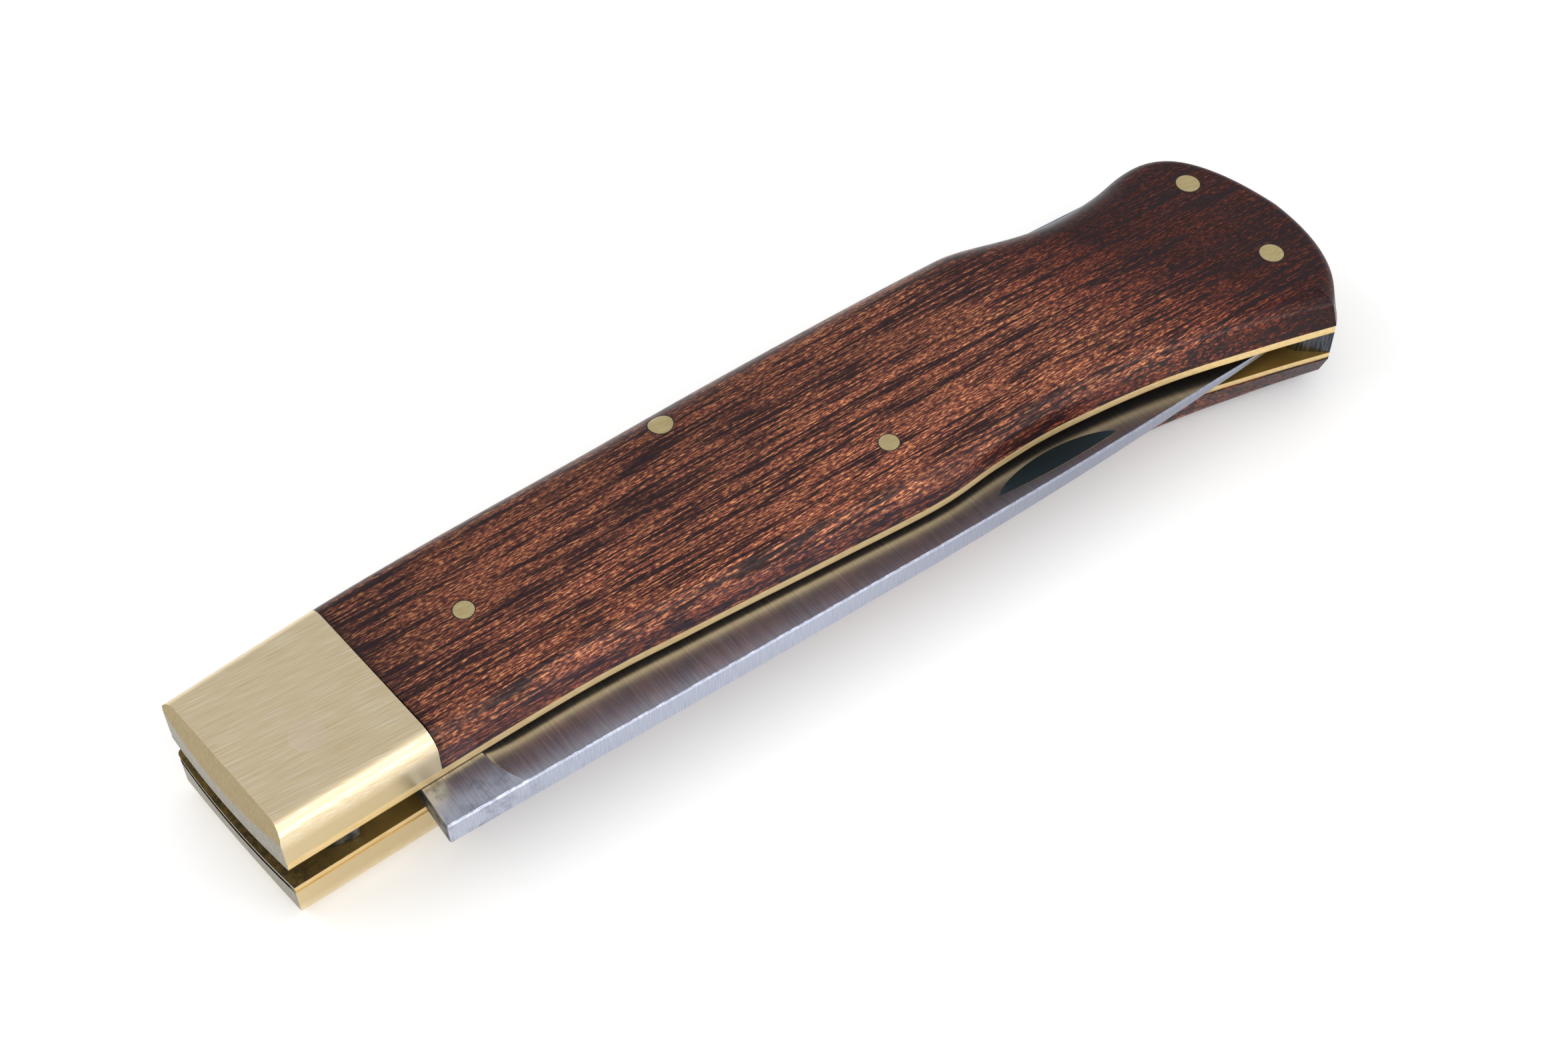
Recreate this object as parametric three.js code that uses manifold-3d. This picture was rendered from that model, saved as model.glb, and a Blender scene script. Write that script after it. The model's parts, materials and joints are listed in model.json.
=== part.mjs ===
// Lock-back folding knife with brass bolsters and hardwood scales, closed, lying on its side.
// Millimetres. The handle is drawn round the blade pivot: X runs to the butt, Y to the back
// edge, where the lock bar lies, and Z is the thickness, with 0 midway between the liners.
// At the end the knife is turned so that the blade lies along X, and set down on Z = 0.
import * as THREE from 'three';
import { mergeVertices } from 'three/addons/utils/BufferGeometryUtils.js';
import Module from 'manifold-3d';

const wasm = await Module();
wasm.setup();

// Handle in plan, measured from the pivot
const frontReach = 8; // pivot to the front end
const frontBulge = 0.4; // the front end is slightly convex
const frontCorner = 1.4; // its corner with the back edge is rounded over this length
const frontSkew = 0.22; // and reaches this much further forward at the back edge
const frontDepth = 7.05; // pivot to the opening edge, at the front
const backHeight = 12.4; // pivot to the back edge, at the front
const backFall = 8; // how far the back edge curves down over its length
const backSpan = 116; // length over which it falls
const bolsterBack = 8.45; // pivot to the joint of bolster and scale

// Butt: its parts are placed from its furthest point
const buttReach = 117.1; // pivot to the end of the butt
const buttMid = 10.8; // level of that furthest point, under the pivot
const cornerSet = 6.1; // its corner with the opening edge lies this far in front of its end
const buttCornerX = buttReach - cornerSet;
const buttCornerDepth = 25.35;
const cornerLead = [3.5, 2.4]; // tangent of the butt's curve at that corner
const humpSet = 11.4; // the back edge starts to swell over into it this far in front
const humpX = buttReach - humpSet;
const humpLead = 7.7; // length of the tangent there
const buttLeads = { back: [0.6, 9.3], opening: [0.2, 6.5] }; // tangents at the end of the butt

// The opening edge swells and hollows for the fingers: distance in front of the butt's corner,
// depth under the pivot
const openingEdge = [[89, 9], [75, 10.9], [59, 13.45], [47, 15.25], [39, 15.4], [31, 16.1],
  [19, 18.6], [7.8, 22.4]];

// Thumb scoop in the back edge, where the lock bar is pressed
const scoopSet = 20.45; // its deepest place, in front of the end of the butt
const scoopX = buttReach - scoopSet;
const scoopFront = 13; // reach of the scoop to the front of that
const scoopRear = 16.6;
const scoopDepth = 2.3;

// Thickness
const handleHalf = 7.6; // middle plane to the flat of a scale or bolster
const linerThick = 1;
const slotHalf = 1.58; // half the gap between the liners
const bladeHalf = 1.5; // half the blade's stock
const bolsterRound = 2.3; // rounded outer edges of the bolsters
const openingRound = 1.9; // along the scales' opening edge
const backRound = 3.9; // along the scales' back edge
const buttRound = 0.9; // round the butt
const openingBlend = 9; // length over which the bolster's radius turns into the scale's
const backBlend = 35;
const roundFall = 10.9; // length over which the back edge's radius falls to the butt's
const openingRoundFall = 12; // length over which the opening edge's radius falls to the butt's
const buttRoundSet = 2.6; // to this far from the end of the butt
const buttRoundStart = buttReach - buttRoundSet;
const backRoundEnd = buttRoundStart - roundFall;
const openingLean = 0.34; // near the butt the opening wall leans in by this share of its height
const leanReach = 37; // from this far in front of the butt's corner, growing all the way
const roundSteps = 5;
const taperSet = 21.1; // this far from the end of the butt the scales thin in a straight line
const taperEven = buttReach - taperSet;
const taperLength = 20; // the thinning begins this far in front of that
const taperStart = taperEven - taperLength;
const taperAngle = 3.45 * Math.PI / 180;
const frontBevelSet = 0.55; // how far the front bevel starts behind the front end
const frontBevelAngle = 11 * Math.PI / 180;

// Blade, measured in its own frame: pivot at 0, X to the tip, spine on the -Y side
const bladeTilt = 6.15 * Math.PI / 180; // closed, it points this far under the handle's X
const shoulderX = 6.83; // square end of the spine, which meets the lock bar when open
const spineDepth = 12.05;
const spineDropStart = 60;
const spineDrop = 1.95; // the spine curves in by this much at the tip
const tipSet = 7.9; // its tip lies this far in front of the end of the butt
const tipX = buttReach - tipSet;
const bellyLevel = 5.5; // cutting edge, above the pivot when closed
const bellyStart = 50;
const plungeX = 15.4; // where the ricasso ends and the hollow grind starts
const plungeLength = 4;
const tangOverlap = 0.4; // the ground part starts this far inside the flat ricasso
const plungeLean = 2; // the plunge line starts this much further forward under the spine
const leanDepth = 6; // at this depth
const leanFade = 24; // the grind's sections straighten over this length
const edgeHalf = 0.08;
const webShare = 0.1; // what the hollow grind leaves behind the edge, as a share of the spine
const hollowPower = 1.6;
const tipThinning = 0.82; // the spine thins towards the tip by this share
const spineBreak = 0.22; // small chamfer along the spine
const nickSet = 38; // the nick starts this far in front of the tip
const nickStart = tipX - nickSet;
const nickLength = 15.2;
const nickLevel = 1.75; // spine to the nick's straight side
const nickHeight = 2.6;
const nickBow = 0.35; // its straight side bows out by this much
const nickDeep = 0.45;
const nickTilt = 9 * Math.PI / 180;

// Lock: round tang, flat that the lug meets when closed, notch that it drops into when open
const tangRadius = 6.5;
const lugDrop = 0.8; // how far the lug drops into the notch
const seatRelief = 0.15; // flat and notch lie this far under the dropped lug
const lugRide = 0.1; // clearance over the round of the tang
const lugSide = 0.15; // clearance to the notch's two walls
const toothX = 0.2; // notch wall behind the lug, when open
const barUnder = 7.9; // pivot to the bar's underside, just behind the lug
const spacerGap = 0.5; // bar's rear end to the spacer
const barRear = humpX - spacerGap;
const barUnderRear = -0.8; // level of its underside there
const barProud = 0.2; // it stands this much out of the handle's back edge
const rockerX = 47; // pin that the bar rocks on
const rockerY = 7.35;
const barHalf = 1.5;
const barOverlap = 0.3; // gap between the bar's underside and the spring

// Butt spacer and spring
const spacerInner = humpX + spacerGap; // its inner face, under the bar
const spacerShelf = 6; // depth of its face behind the bar
const spacerSlant = 2; // that face runs back to the inner face over this height
const spacerToe = [2.5, 2.4]; // its toe, in front of and above the corner of the butt
const toeBend = [0.6, 6]; // bend of the curve down to the toe
const toeStart = 9.5; // height where that curve starts, above the corner
const springRootX = spacerInner + 3.8;
const springRootY = -9;
const springLength = 32;
const springTipX = springRootX - springLength;
const springLead = [5, 0.3]; // where its bend starts, in front of and above its root
const springBend = [17, 1.2]; // where the bend's two tangents meet
const springThick = 1.2;
const springFit = 0.1; // gap round the spring's tail in its slot

// Pins and rivets
const pivotRadius = 1.75;
const rockerRadius = 1.3;
const buttPinRadius = 1.3;
const rivetRadius = 1.05;
const pinFit = 0.08; // all round a pin or a rivet in its hole
const buttPins = { rear: [buttReach - 5.4, -2.85], front: [buttReach - 6.3, -15.75] };
const scaleRivets = { front: [18.9, 1.9], middle: [62.4, -9.25] };
const bolsterRivets = { back: [3.6, 8], opening: [4.4, -4.6] };
const bolsterRivetRadius = 1.1;
const bolsterRivetCover = 1.2; // brass left over the blind end of a bolster rivet

const roundSides = 32;

const edgeSteps = 40;
const buttSteps = 9;
const linerOuter = slotHalf + linerThick;
const leanFoot = linerOuter - 0.05; // the walls lean from just inside the liner's face
const rideHeight = tangRadius + lugRide;
const seatLevel = rideHeight - lugDrop - seatRelief;

const steel = { color: 0xa7abb6, metalness: 1, roughness: 0.32 };
const brass = { color: 0xc8b683, metalness: 1, roughness: 0.36 };
const pinBrass = { color: 0xb9ac78, metalness: 1, roughness: 0.4 };
const springSteel = { color: 0x7c828c, metalness: 1, roughness: 0.4 };
const hardwood = { color: 0x5b2c20, metalness: 0, roughness: 0.42 };

// Thinning towards the butt, in straight runs between these places
const taperKnots = [0, 1, 2, 3, 4].map((i) => taperStart + taperLength * (i / 4));

function thinnedHalf(x) {
  const along = THREE.MathUtils.clamp((x - taperStart) / taperLength, 0, 1);
  const run = taperLength * along ** 2 / 2 + Math.max(0, x - taperEven);
  return handleHalf - run * Math.tan(taperAngle);
}

function runHalf(x) {
  const after = taperKnots.findIndex((knot) => knot > x);
  if (after <= 0) return thinnedHalf(x);
  const [low, high] = [taperKnots[after - 1], taperKnots[after]];
  return THREE.MathUtils.mapLinear(x, low, high, thinnedHalf(low), thinnedHalf(high));
}

// Solids
function solidOf(geometry) {
  const bare = geometry.index ? geometry.toNonIndexed() : geometry.clone();
  bare.deleteAttribute('normal');
  bare.deleteAttribute('uv');
  const merged = mergeVertices(bare, 1e-4);
  const mesh = new wasm.Mesh({
    numProp: 3,
    vertProperties: Float32Array.from(merged.attributes.position.array),
    triVerts: Uint32Array.from(merged.index.array),
  });
  mesh.merge();
  return new wasm.Manifold(mesh);
}

function geometryOf(solid) {
  const mesh = solid.getMesh();
  const geometry = new THREE.BufferGeometry();
  geometry.setAttribute('position', new THREE.BufferAttribute(Float32Array.from(mesh.vertProperties), 3));
  geometry.setIndex(new THREE.BufferAttribute(Uint32Array.from(mesh.triVerts), 1));
  geometry.computeVertexNormals();
  return geometry;
}

// Splits every triangle that crosses a plane of constant X
function splitAt(places, triangles, x) {
  const side = (i) => (Math.abs(places[i][0] - x) < 1e-6 ? 0 : Math.sign(places[i][0] - x));
  const between = new Map();
  const crossing = (a, b) => {
    const key = [a, b].sort((m, n) => m - n).join(' ');
    if (!between.has(key)) {
      const share = (x - places[a][0]) / (places[b][0] - places[a][0]);
      between.set(key, places.length);
      places.push(places[a].map((value, k) => value + (places[b][k] - value) * share));
    }
    return between.get(key);
  };
  const partOf = (triangle, sign) => {
    const ring = [];
    triangle.forEach((a, i) => {
      const b = triangle[(i + 1) % 3];
      if (side(a) * sign >= 0) ring.push(a);
      if (side(a) * side(b) < 0) ring.push(crossing(a, b));
    });
    return ring.slice(2).map((corner, i) => [ring[0], ring[i + 1], corner]);
  };
  return triangles.flatMap((triangle) => {
    const found = triangle.map(side);
    const whole = Math.min(...found) >= 0 || Math.max(...found) <= 0;
    return whole ? [triangle] : [...partOf(triangle, -1), ...partOf(triangle, 1)];
  });
}

// Brings what lies outside the liners down to the thinned handle
function thinned(geometry) {
  const at = geometry.attributes.position;
  const places = Array.from({ length: at.count }, (_, i) => [at.getX(i), at.getY(i), at.getZ(i)]);
  const index = Array.from(geometry.index.array);
  let triangles = index.filter((_, i) => i % 3 === 0).map((_, i) => index.slice(3 * i, 3 * i + 3));
  for (const knot of taperKnots) triangles = splitAt(places, triangles, knot);
  const moved = places.flatMap(([x, y, z]) => {
    const share = Math.max(0, Math.abs(z) - linerOuter) / (handleHalf - linerOuter);
    return [x, y, z - Math.sign(z) * share * (handleHalf - runHalf(x))];
  });
  const result = new THREE.BufferGeometry();
  result.setAttribute('position', new THREE.BufferAttribute(Float32Array.from(moved), 3));
  result.setIndex(triangles.flat());
  result.computeVertexNormals();
  return result;
}

function slab(shape, low, high, curveSegments = 6) {
  const geometry = new THREE.ExtrudeGeometry(shape, { depth: high - low, bevelEnabled: false, curveSegments });
  geometry.translate(0, 0, low);
  return solidOf(geometry);
}

function block(x0, x1, y0, y1, z0, z1) {
  const geometry = new THREE.BoxGeometry(x1 - x0, y1 - y0, z1 - z0);
  geometry.translate((x0 + x1) / 2, (y0 + y1) / 2, (z0 + z1) / 2);
  return solidOf(geometry);
}

function rod([x, y], radius, low, high) {
  const geometry = new THREE.CylinderGeometry(radius, radius, high - low, roundSides);
  geometry.rotateX(Math.PI / 2);
  geometry.translate(x, y, (low + high) / 2);
  return solidOf(geometry);
}

function cut(solid, tools) {
  return tools.reduce((left, tool) => left.subtract(tool), solid);
}

// Handle outline
function naturalBack(x) {
  return backHeight - backFall * ((x + frontReach) / backSpan) ** 2;
}

function backEdge(x) {
  const share = Math.min(1, Math.abs(x - scoopX) / (x < scoopX ? scoopFront : scoopRear));
  return naturalBack(x) - scoopDepth * (1 - share ** 2) ** 2;
}

function backSlope(x) {
  const step = 0.01;
  return (backEdge(x + step) - backEdge(x - step)) / (2 * step);
}

function buttCurve(part) {
  const tip = new THREE.Vector2(buttReach, -buttMid);
  const [inset, rise] = buttLeads[part];
  if (part === 'opening') {
    const corner = new THREE.Vector2(buttCornerX, -buttCornerDepth);
    return new THREE.CubicBezierCurve(corner, corner.clone().add(new THREE.Vector2(...cornerLead)),
      new THREE.Vector2(buttReach - inset, -buttMid - rise), tip);
  }
  const start = new THREE.Vector2(humpX, backEdge(humpX));
  const lead = new THREE.Vector2(1, backSlope(humpX)).setLength(humpLead);
  return new THREE.CubicBezierCurve(start, start.clone().add(lead),
    new THREE.Vector2(buttReach - inset, -buttMid + rise), tip);
}

// Points from the front end to the furthest point of the butt, along each edge of the handle
function edgePoints(part, front) {
  const knots = openingEdge.map(([x, depth]) => new THREE.Vector2(buttCornerX - x, -depth));
  const spline = new THREE.SplineCurve([new THREE.Vector2(-frontReach, -frontDepth), ...knots,
    new THREE.Vector2(buttCornerX, -buttCornerDepth)]);
  const points = [];
  for (let i = 0; i < edgeSteps; i += 1) {
    const t = 1 - (1 - i / edgeSteps) ** 1.1;
    const x = -frontReach + (humpX + frontReach) * t;
    points.push(part === 'opening' ? spline.getPointAt(t) : new THREE.Vector2(x, backEdge(x)));
  }
  points[0].x = part === 'opening' ? front : front - frontSkew;
  return [...points, ...buttCurve(part).getPoints(buttSteps)];
}

// Closed outline: out along the opening edge and home along the back edge
function handleOutline(front = -frontReach) {
  const back = edgePoints('back', front).slice(0, -1).reverse();
  return [...edgePoints('opening', front), ...back];
}

function handlePlan() {
  const outline = handleOutline();
  const corner = outline.pop();
  const shape = new THREE.Shape(outline);
  shape.lineTo(corner.x + frontCorner, corner.y);
  shape.quadraticCurveTo(corner.x, corner.y, corner.x, corner.y - frontCorner);
  shape.quadraticCurveTo(-frontReach - frontSkew / 2 - 2 * frontBulge, (backHeight - frontDepth) / 2,
    -frontReach, -frontDepth);
  return shape;
}

function smooth(x, low, high) {
  return THREE.MathUtils.smoothstep(x, low, high);
}

// Radius of the rounded outer edge, at a point of the outline
function roundAt(x, alongBack) {
  const scaleRound = alongBack ? backRound : openingRound;
  const entering = smooth(x, bolsterBack, bolsterBack + (alongBack ? backBlend : openingBlend));
  const leaving = alongBack
    ? smooth(x, backRoundEnd, buttRoundStart)
    : smooth(x, buttCornerX - openingRoundFall, buttCornerX);
  return bolsterRound + (scaleRound - bolsterRound) * entering + (buttRound - scaleRound) * leaving;
}

// How far the wall leans in over its height, at a point of the outline
function leanAt(x, alongBack) {
  if (alongBack) return 0;
  const growing = smooth(x, buttCornerX - leanReach, buttCornerX);
  return openingLean * growing * (1 - smooth(x, buttCornerX, buttReach));
}

// Inward direction at each corner of an outline, long enough to move both its edges by one
function inwardAt(outline, i) {
  const before = outline[(i + outline.length - 1) % outline.length];
  const after = outline[(i + 1) % outline.length];
  const a = outline[i].clone().sub(before).normalize();
  const b = after.clone().sub(outline[i]).normalize();
  return new THREE.Vector2(-a.y - b.y, a.x + b.x).divideScalar(1 + a.dot(b));
}

// The whole handle with flat faces and rounded edges. Its pieces are thinned once they are cut.
function groundHandle() {
  const outline = handleOutline(-frontReach - 5);
  const inward = outline.map((point, i) => inwardAt(outline, i));
  const middle = (outline.length - 1) / 2;
  const ring = (turn, side) => outline.map((point, i) => {
    const radius = roundAt(point.x, i > middle);
    const half = handleHalf - radius + radius * Math.sin(turn);
    const inset = radius * (1 - Math.cos(turn)) + leanAt(point.x, i > middle) * (half - leanFoot);
    const place = point.clone().addScaledVector(inward[i], inset);
    return [place.x, place.y, side * half];
  });
  const turns = [];
  for (let i = roundSteps; i >= 0; i -= 1) turns.push((i / roundSteps) * (Math.PI / 2));
  const foot = (side) => outline.map((point) => [point.x, point.y, side * leanFoot]);
  const rings = [
    ...turns.map((turn) => ring(turn, 1)),
    foot(1),
    foot(-1),
    ...turns.reverse().map((turn) => ring(turn, -1)),
  ];
  return solidOf(loft(rings)).intersect(slab(handlePlan(), -handleHalf - 1, handleHalf + 1));
}

const handle = groundHandle();
const far = 200;
const above = block(-far, far, -far, far, linerOuter, far);
const below = block(-far, far, -far, far, -far, -linerOuter);
const bolsterSide = block(-far, bolsterBack, -far, far, -far, far);
const scaleSide = block(bolsterBack, far, -far, far, -far, far);

function hole(centre, radius) {
  return rod(centre, radius + pinFit, -handleHalf - 2, handleHalf + 2);
}

const rockerCentre = [rockerX, rockerY];
const throughHoles = [
  hole([0, 0], pivotRadius),
  hole(rockerCentre, rockerRadius),
  hole(buttPins.rear, buttPinRadius),
  hole(buttPins.front, buttPinRadius),
  hole(scaleRivets.front, rivetRadius),
  hole(scaleRivets.middle, rivetRadius),
];
const blindTop = handleHalf - bolsterRivetCover;
const blindHoles = Object.values(bolsterRivets).map((centre) => (
  rod(centre, bolsterRivetRadius + pinFit, -blindTop - pinFit, blindTop + pinFit)));

// Slanted bevel across the front end of a bolster
function frontBevel(side) {
  const geometry = new THREE.BoxGeometry(far, far, far);
  geometry.translate(-far / 2, 0, 0);
  geometry.rotateY(side * frontBevelAngle);
  geometry.rotateZ(Math.atan(frontSkew / (backHeight + frontDepth)));
  geometry.translate(-frontReach + frontBevelSet, -frontDepth, side * handleHalf);
  return solidOf(geometry);
}

function bolster(side) {
  const half = handle.intersect(side > 0 ? above : below).intersect(bolsterSide);
  return cut(half, [frontBevel(side), ...throughHoles, ...blindHoles]);
}

function scale(side) {
  return cut(handle.intersect(side > 0 ? above : below).intersect(scaleSide), throughHoles);
}

function liner(side) {
  const low = side > 0 ? slotHalf : -linerOuter;
  return cut(slab(handlePlan(), low, low + linerThick), [...throughHoles, ...blindHoles]);
}

// Pins are ground flush with the handle, so each is cut by the same ground form
function pin(centre, radius, low = -handleHalf - 1, high = handleHalf + 1) {
  return rod(centre, radius, low, high).intersect(handle);
}

function rivet(centre, side) {
  return side > 0
    ? pin(centre, rivetRadius, slotHalf, handleHalf + 1)
    : pin(centre, rivetRadius, -handleHalf - 1, -slotHalf);
}

function bolsterRivet(centre, side) {
  return side > 0
    ? rod(centre, bolsterRivetRadius, slotHalf, blindTop)
    : rod(centre, bolsterRivetRadius, -blindTop, -slotHalf);
}

// Blade frame from a point in the handle's frame, with the blade closed
function inBlade(x, y) {
  const c = Math.cos(bladeTilt);
  const s = Math.sin(bladeTilt);
  return [x * c - y * s, x * s + y * c];
}

function spineY(x) {
  const along = Math.max(0, (x - spineDropStart) / (tipX - spineDropStart));
  return -spineDepth + spineDrop * along ** 1.8;
}

function edgeY(x) {
  const along = Math.max(0, (x - bellyStart) / (tipX - bellyStart));
  return bellyLevel - (bellyLevel - spineY(tipX)) * along ** 2.3;
}

// Half thickness at a share of the way from spine to edge
function grindHalf(x, share) {
  const stock = bladeHalf * (1 - tipThinning * ((x - plungeX) / (tipX - plungeX)) ** 3);
  const hollow = stock * (webShare + (1 - webShare) * (1 - share) ** hollowPower);
  const cove = Math.min(1, Math.max(0, (x - plungeX) / plungeLength));
  const ground = Math.sqrt(1 - (1 - cove) ** 2);
  return bladeHalf + (hollow - bladeHalf) * ground;
}

// Where a section reaches at each share of the way from spine to edge: the sections lean with
// the plunge line and straighten behind it
const widthShares = [0, 0.015, 0.07, 0.14, 0.22, 0.34, 0.5, 0.65, 0.8, 0.96, 1];

function sectionLine(x) {
  const top = spineY(x);
  const width = edgeY(x) - top;
  const fading = 1 - THREE.MathUtils.clamp((x - plungeX) / leanFade, 0, 1);
  return widthShares.map((share) => {
    const rise = 1 - Math.min(1, share * width / leanDepth);
    return [x - plungeLean * (1 - rise ** 2) * fading, top + width * share];
  });
}

// One cross-section, as a ring of points round the blade
function bladeSection(x) {
  const sides = sectionLine(x).map(([along, y], i) => {
    let half = grindHalf(x, widthShares[i]);
    if (i === 0) half = Math.max(half - spineBreak, half * 0.6);
    if (i === widthShares.length - 1) half = x < plungeX + 0.5 ? bladeHalf : edgeHalf;
    return [along, y, half];
  });
  const upper = sides.map(([along, y, half]) => [along, y, half]);
  const lower = sides.map(([along, y, half]) => [along, y, -half]).reverse();
  return [...upper, ...lower];
}

// Rings joined into a closed skin, with flat ends
function loft(rings) {
  const size = rings[0].length;
  const place = rings.flat(2);
  const index = [];
  for (let r = 0; r + 1 < rings.length; r += 1) {
    for (let i = 0; i < size; i += 1) {
      const a = r * size + i;
      const b = r * size + (i + 1) % size;
      index.push(a, a + size, b, b, a + size, b + size);
    }
  }
  const last = (rings.length - 1) * size;
  for (let i = 0; i + 1 < size / 2; i += 1) {
    const j = size - 1 - i;
    index.push(i, i + 1, j);
    index.push(last + i, last + j, last + i + 1);
    if (i + 1 === j - 1) continue;
    index.push(i + 1, j - 1, j);
    index.push(last + i + 1, last + j, last + j - 1);
  }
  const geometry = new THREE.BufferGeometry();
  geometry.setAttribute('position', new THREE.BufferAttribute(Float32Array.from(place), 3));
  geometry.setIndex(index);
  return geometry;
}

function groundBlade() {
  const stations = [plungeX];
  const coveSteps = 6;
  for (let i = 1; i <= coveSteps; i += 1) {
    stations.push(plungeX + plungeLength * (1 - Math.cos((i / coveSteps) * Math.PI / 2)));
  }
  const steps = 30;
  const start = plungeX + plungeLength;
  const end = tipX - 0.3;
  for (let i = 1; i <= steps; i += 1) stations.push(start + (end - start) * Math.sin((i / steps) * Math.PI / 2));
  const root = bladeSection(plungeX).map(([x, y, z]) => [x - tangOverlap, y, z]);
  return solidOf(loft([root, ...stations.map(bladeSection)]));
}

// Tang with ricasso: round nose, flat for the closed lug, square shoulder and lock notch
function tangShape() {
  const chord = Math.acos(seatLevel / tangRadius);
  const plunge = sectionLine(plungeX).map(([x, y]) => new THREE.Vector2(x - tangOverlap / 2, y));
  const shape = new THREE.Shape();
  shape.setFromPoints(plunge);
  shape.lineTo(...inBlade(tangRadius * Math.sin(chord), seatLevel));
  shape.lineTo(...inBlade(-tangRadius * Math.sin(chord), seatLevel));
  const arcStart = Math.PI / 2 + chord;
  const arcEnd = Math.PI * 1.5 - Math.asin(toothX / tangRadius);
  const steps = 22;
  for (let i = 1; i <= steps; i += 1) {
    const angle = arcStart + (arcEnd - arcStart) * (i / steps);
    shape.lineTo(...inBlade(tangRadius * Math.cos(angle), tangRadius * Math.sin(angle)));
  }
  shape.lineTo(...inBlade(-toothX, -seatLevel));
  const floor = shoulderOnFloor(-seatLevel);
  shape.lineTo(...floor);
  shape.lineTo(shoulderX, -spineDepth);
  return shape;
}

// Where the shoulder's line meets a level of the handle's frame
function shoulderOnFloor(level) {
  const y = (level - shoulderX * -Math.sin(bladeTilt)) / Math.cos(bladeTilt);
  return [shoulderX, y];
}

// Crescent nail nick, deepest at its straight side
function nailNick() {
  const shape = new THREE.Shape();
  shape.moveTo(0, 0);
  shape.quadraticCurveTo(nickLength / 2, -2 * nickBow, nickLength, 0);
  shape.bezierCurveTo(nickLength * 0.72, nickHeight * 1.15, nickLength * 0.28, nickHeight * 1.4, 0, 0);
  const geometry = new THREE.ExtrudeGeometry(shape, { depth: 3, bevelEnabled: false, curveSegments: 14 });
  geometry.rotateX(nickTilt);
  const middle = nickStart + nickLength / 2;
  const share = nickLevel / (edgeY(middle) - spineY(middle));
  geometry.translate(nickStart, -spineDepth + nickLevel, grindHalf(middle, share) - nickDeep);
  return solidOf(geometry);
}

function blade() {
  const tang = slab(tangShape(), -bladeHalf, bladeHalf).subtract(
    rod([0, 0], pivotRadius + pinFit, -5, 5));
  return tang.add(groundBlade()).subtract(nailNick());
}

// Lock bar, drawn as it lies at rest, with its lug riding on the tang
function barBack(x) {
  return naturalBack(x) + barProud;
}

function openShoulder(level) {
  const [x, y] = [-shoulderX, spineDepth];
  const c = Math.cos(bladeTilt);
  const s = Math.sin(bladeTilt);
  const corner = [x * c + y * s, -x * s + y * c];
  return corner[0] + lugSide - (corner[1] - level) * Math.tan(bladeTilt);
}

function barUnderside(x) {
  return barUnder + (barUnderRear - barUnder) * (x / barRear);
}

function barShape() {
  const shape = new THREE.Shape();
  const lugBack = toothX - lugSide;
  shape.moveTo(openShoulder(rideHeight), rideHeight);
  shape.lineTo(lugBack, rideHeight);
  shape.lineTo(lugBack, barUnderside(lugBack));
  shape.lineTo(barRear - 0.6, barUnderRear);
  shape.lineTo(barRear, barUnderRear + 0.6);
  const steps = 26;
  for (let i = 0; i <= steps; i += 1) {
    const x = barRear - (barRear - openShoulder(backHeight)) * (i / steps);
    shape.lineTo(x, barBack(x));
  }
  return shape;
}

function lockBar() {
  return slab(barShape(), -barHalf, barHalf).subtract(rod(rockerCentre, rockerRadius + pinFit, -5, 5));
}

// Leaf spring from the butt spacer to the underside of the bar
function springShape(grow = 0) {
  const tipY = barUnderside(springTipX) - barOverlap - springThick / 2;
  const curve = new THREE.QuadraticBezierCurve(
    new THREE.Vector2(springRootX - springLead[0], springRootY + springLead[1]),
    new THREE.Vector2(springRootX - springBend[0], springRootY + springBend[1]),
    new THREE.Vector2(springTipX, tipY));
  const line = [new THREE.Vector2(springRootX, springRootY), ...curve.getPoints(14)];
  const half = springThick / 2 + grow;
  const sides = line.map((point, i) => {
    const next = line[Math.min(i + 1, line.length - 1)];
    const last = line[Math.max(i - 1, 0)];
    const along = next.clone().sub(last).normalize();
    return [point, new THREE.Vector2(-along.y, along.x).multiplyScalar(half)];
  });
  const start = sides[0][0].clone().add(new THREE.Vector2(grow, 0));
  sides[0][0] = start;
  const outer = sides.map(([point, across]) => point.clone().add(across));
  const inner = sides.map(([point, across]) => point.clone().sub(across)).reverse();
  return new THREE.Shape([...outer, ...inner]);
}

// Spacer that fills the butt between the liners and holds the spring's tail
function buttSpacer() {
  const shape = new THREE.Shape();
  const opening = buttCurve('opening').getPoints(buttSteps);
  const back = buttCurve('back').getPoints(buttSteps).reverse();
  shape.setFromPoints([...opening, ...back.slice(1)]);
  const top = backEdge(humpX);
  shape.lineTo(humpX, top - spacerShelf);
  shape.lineTo(spacerInner, top - spacerShelf - spacerSlant);
  shape.lineTo(spacerInner, -buttCornerDepth + toeStart);
  shape.quadraticCurveTo(spacerInner + toeBend[0], -buttCornerDepth + toeBend[1],
    buttCornerX - spacerToe[0], -buttCornerDepth + spacerToe[1]);
  const solid = slab(shape, -slotHalf, slotHalf, 12);
  return cut(solid, [...throughHoles.slice(2, 4), slab(springShape(springFit), -5, 5)]);
}

// The assembly
const knife = new THREE.Group();
const turned = new THREE.Group();
knife.add(turned);

function addPiece(name, solid, finish, shaping = (geometry) => geometry) {
  const mesh = new THREE.Mesh(shaping(geometryOf(solid)), new THREE.MeshStandardMaterial(finish));
  mesh.name = name;
  turned.add(mesh);
  return mesh;
}

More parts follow.
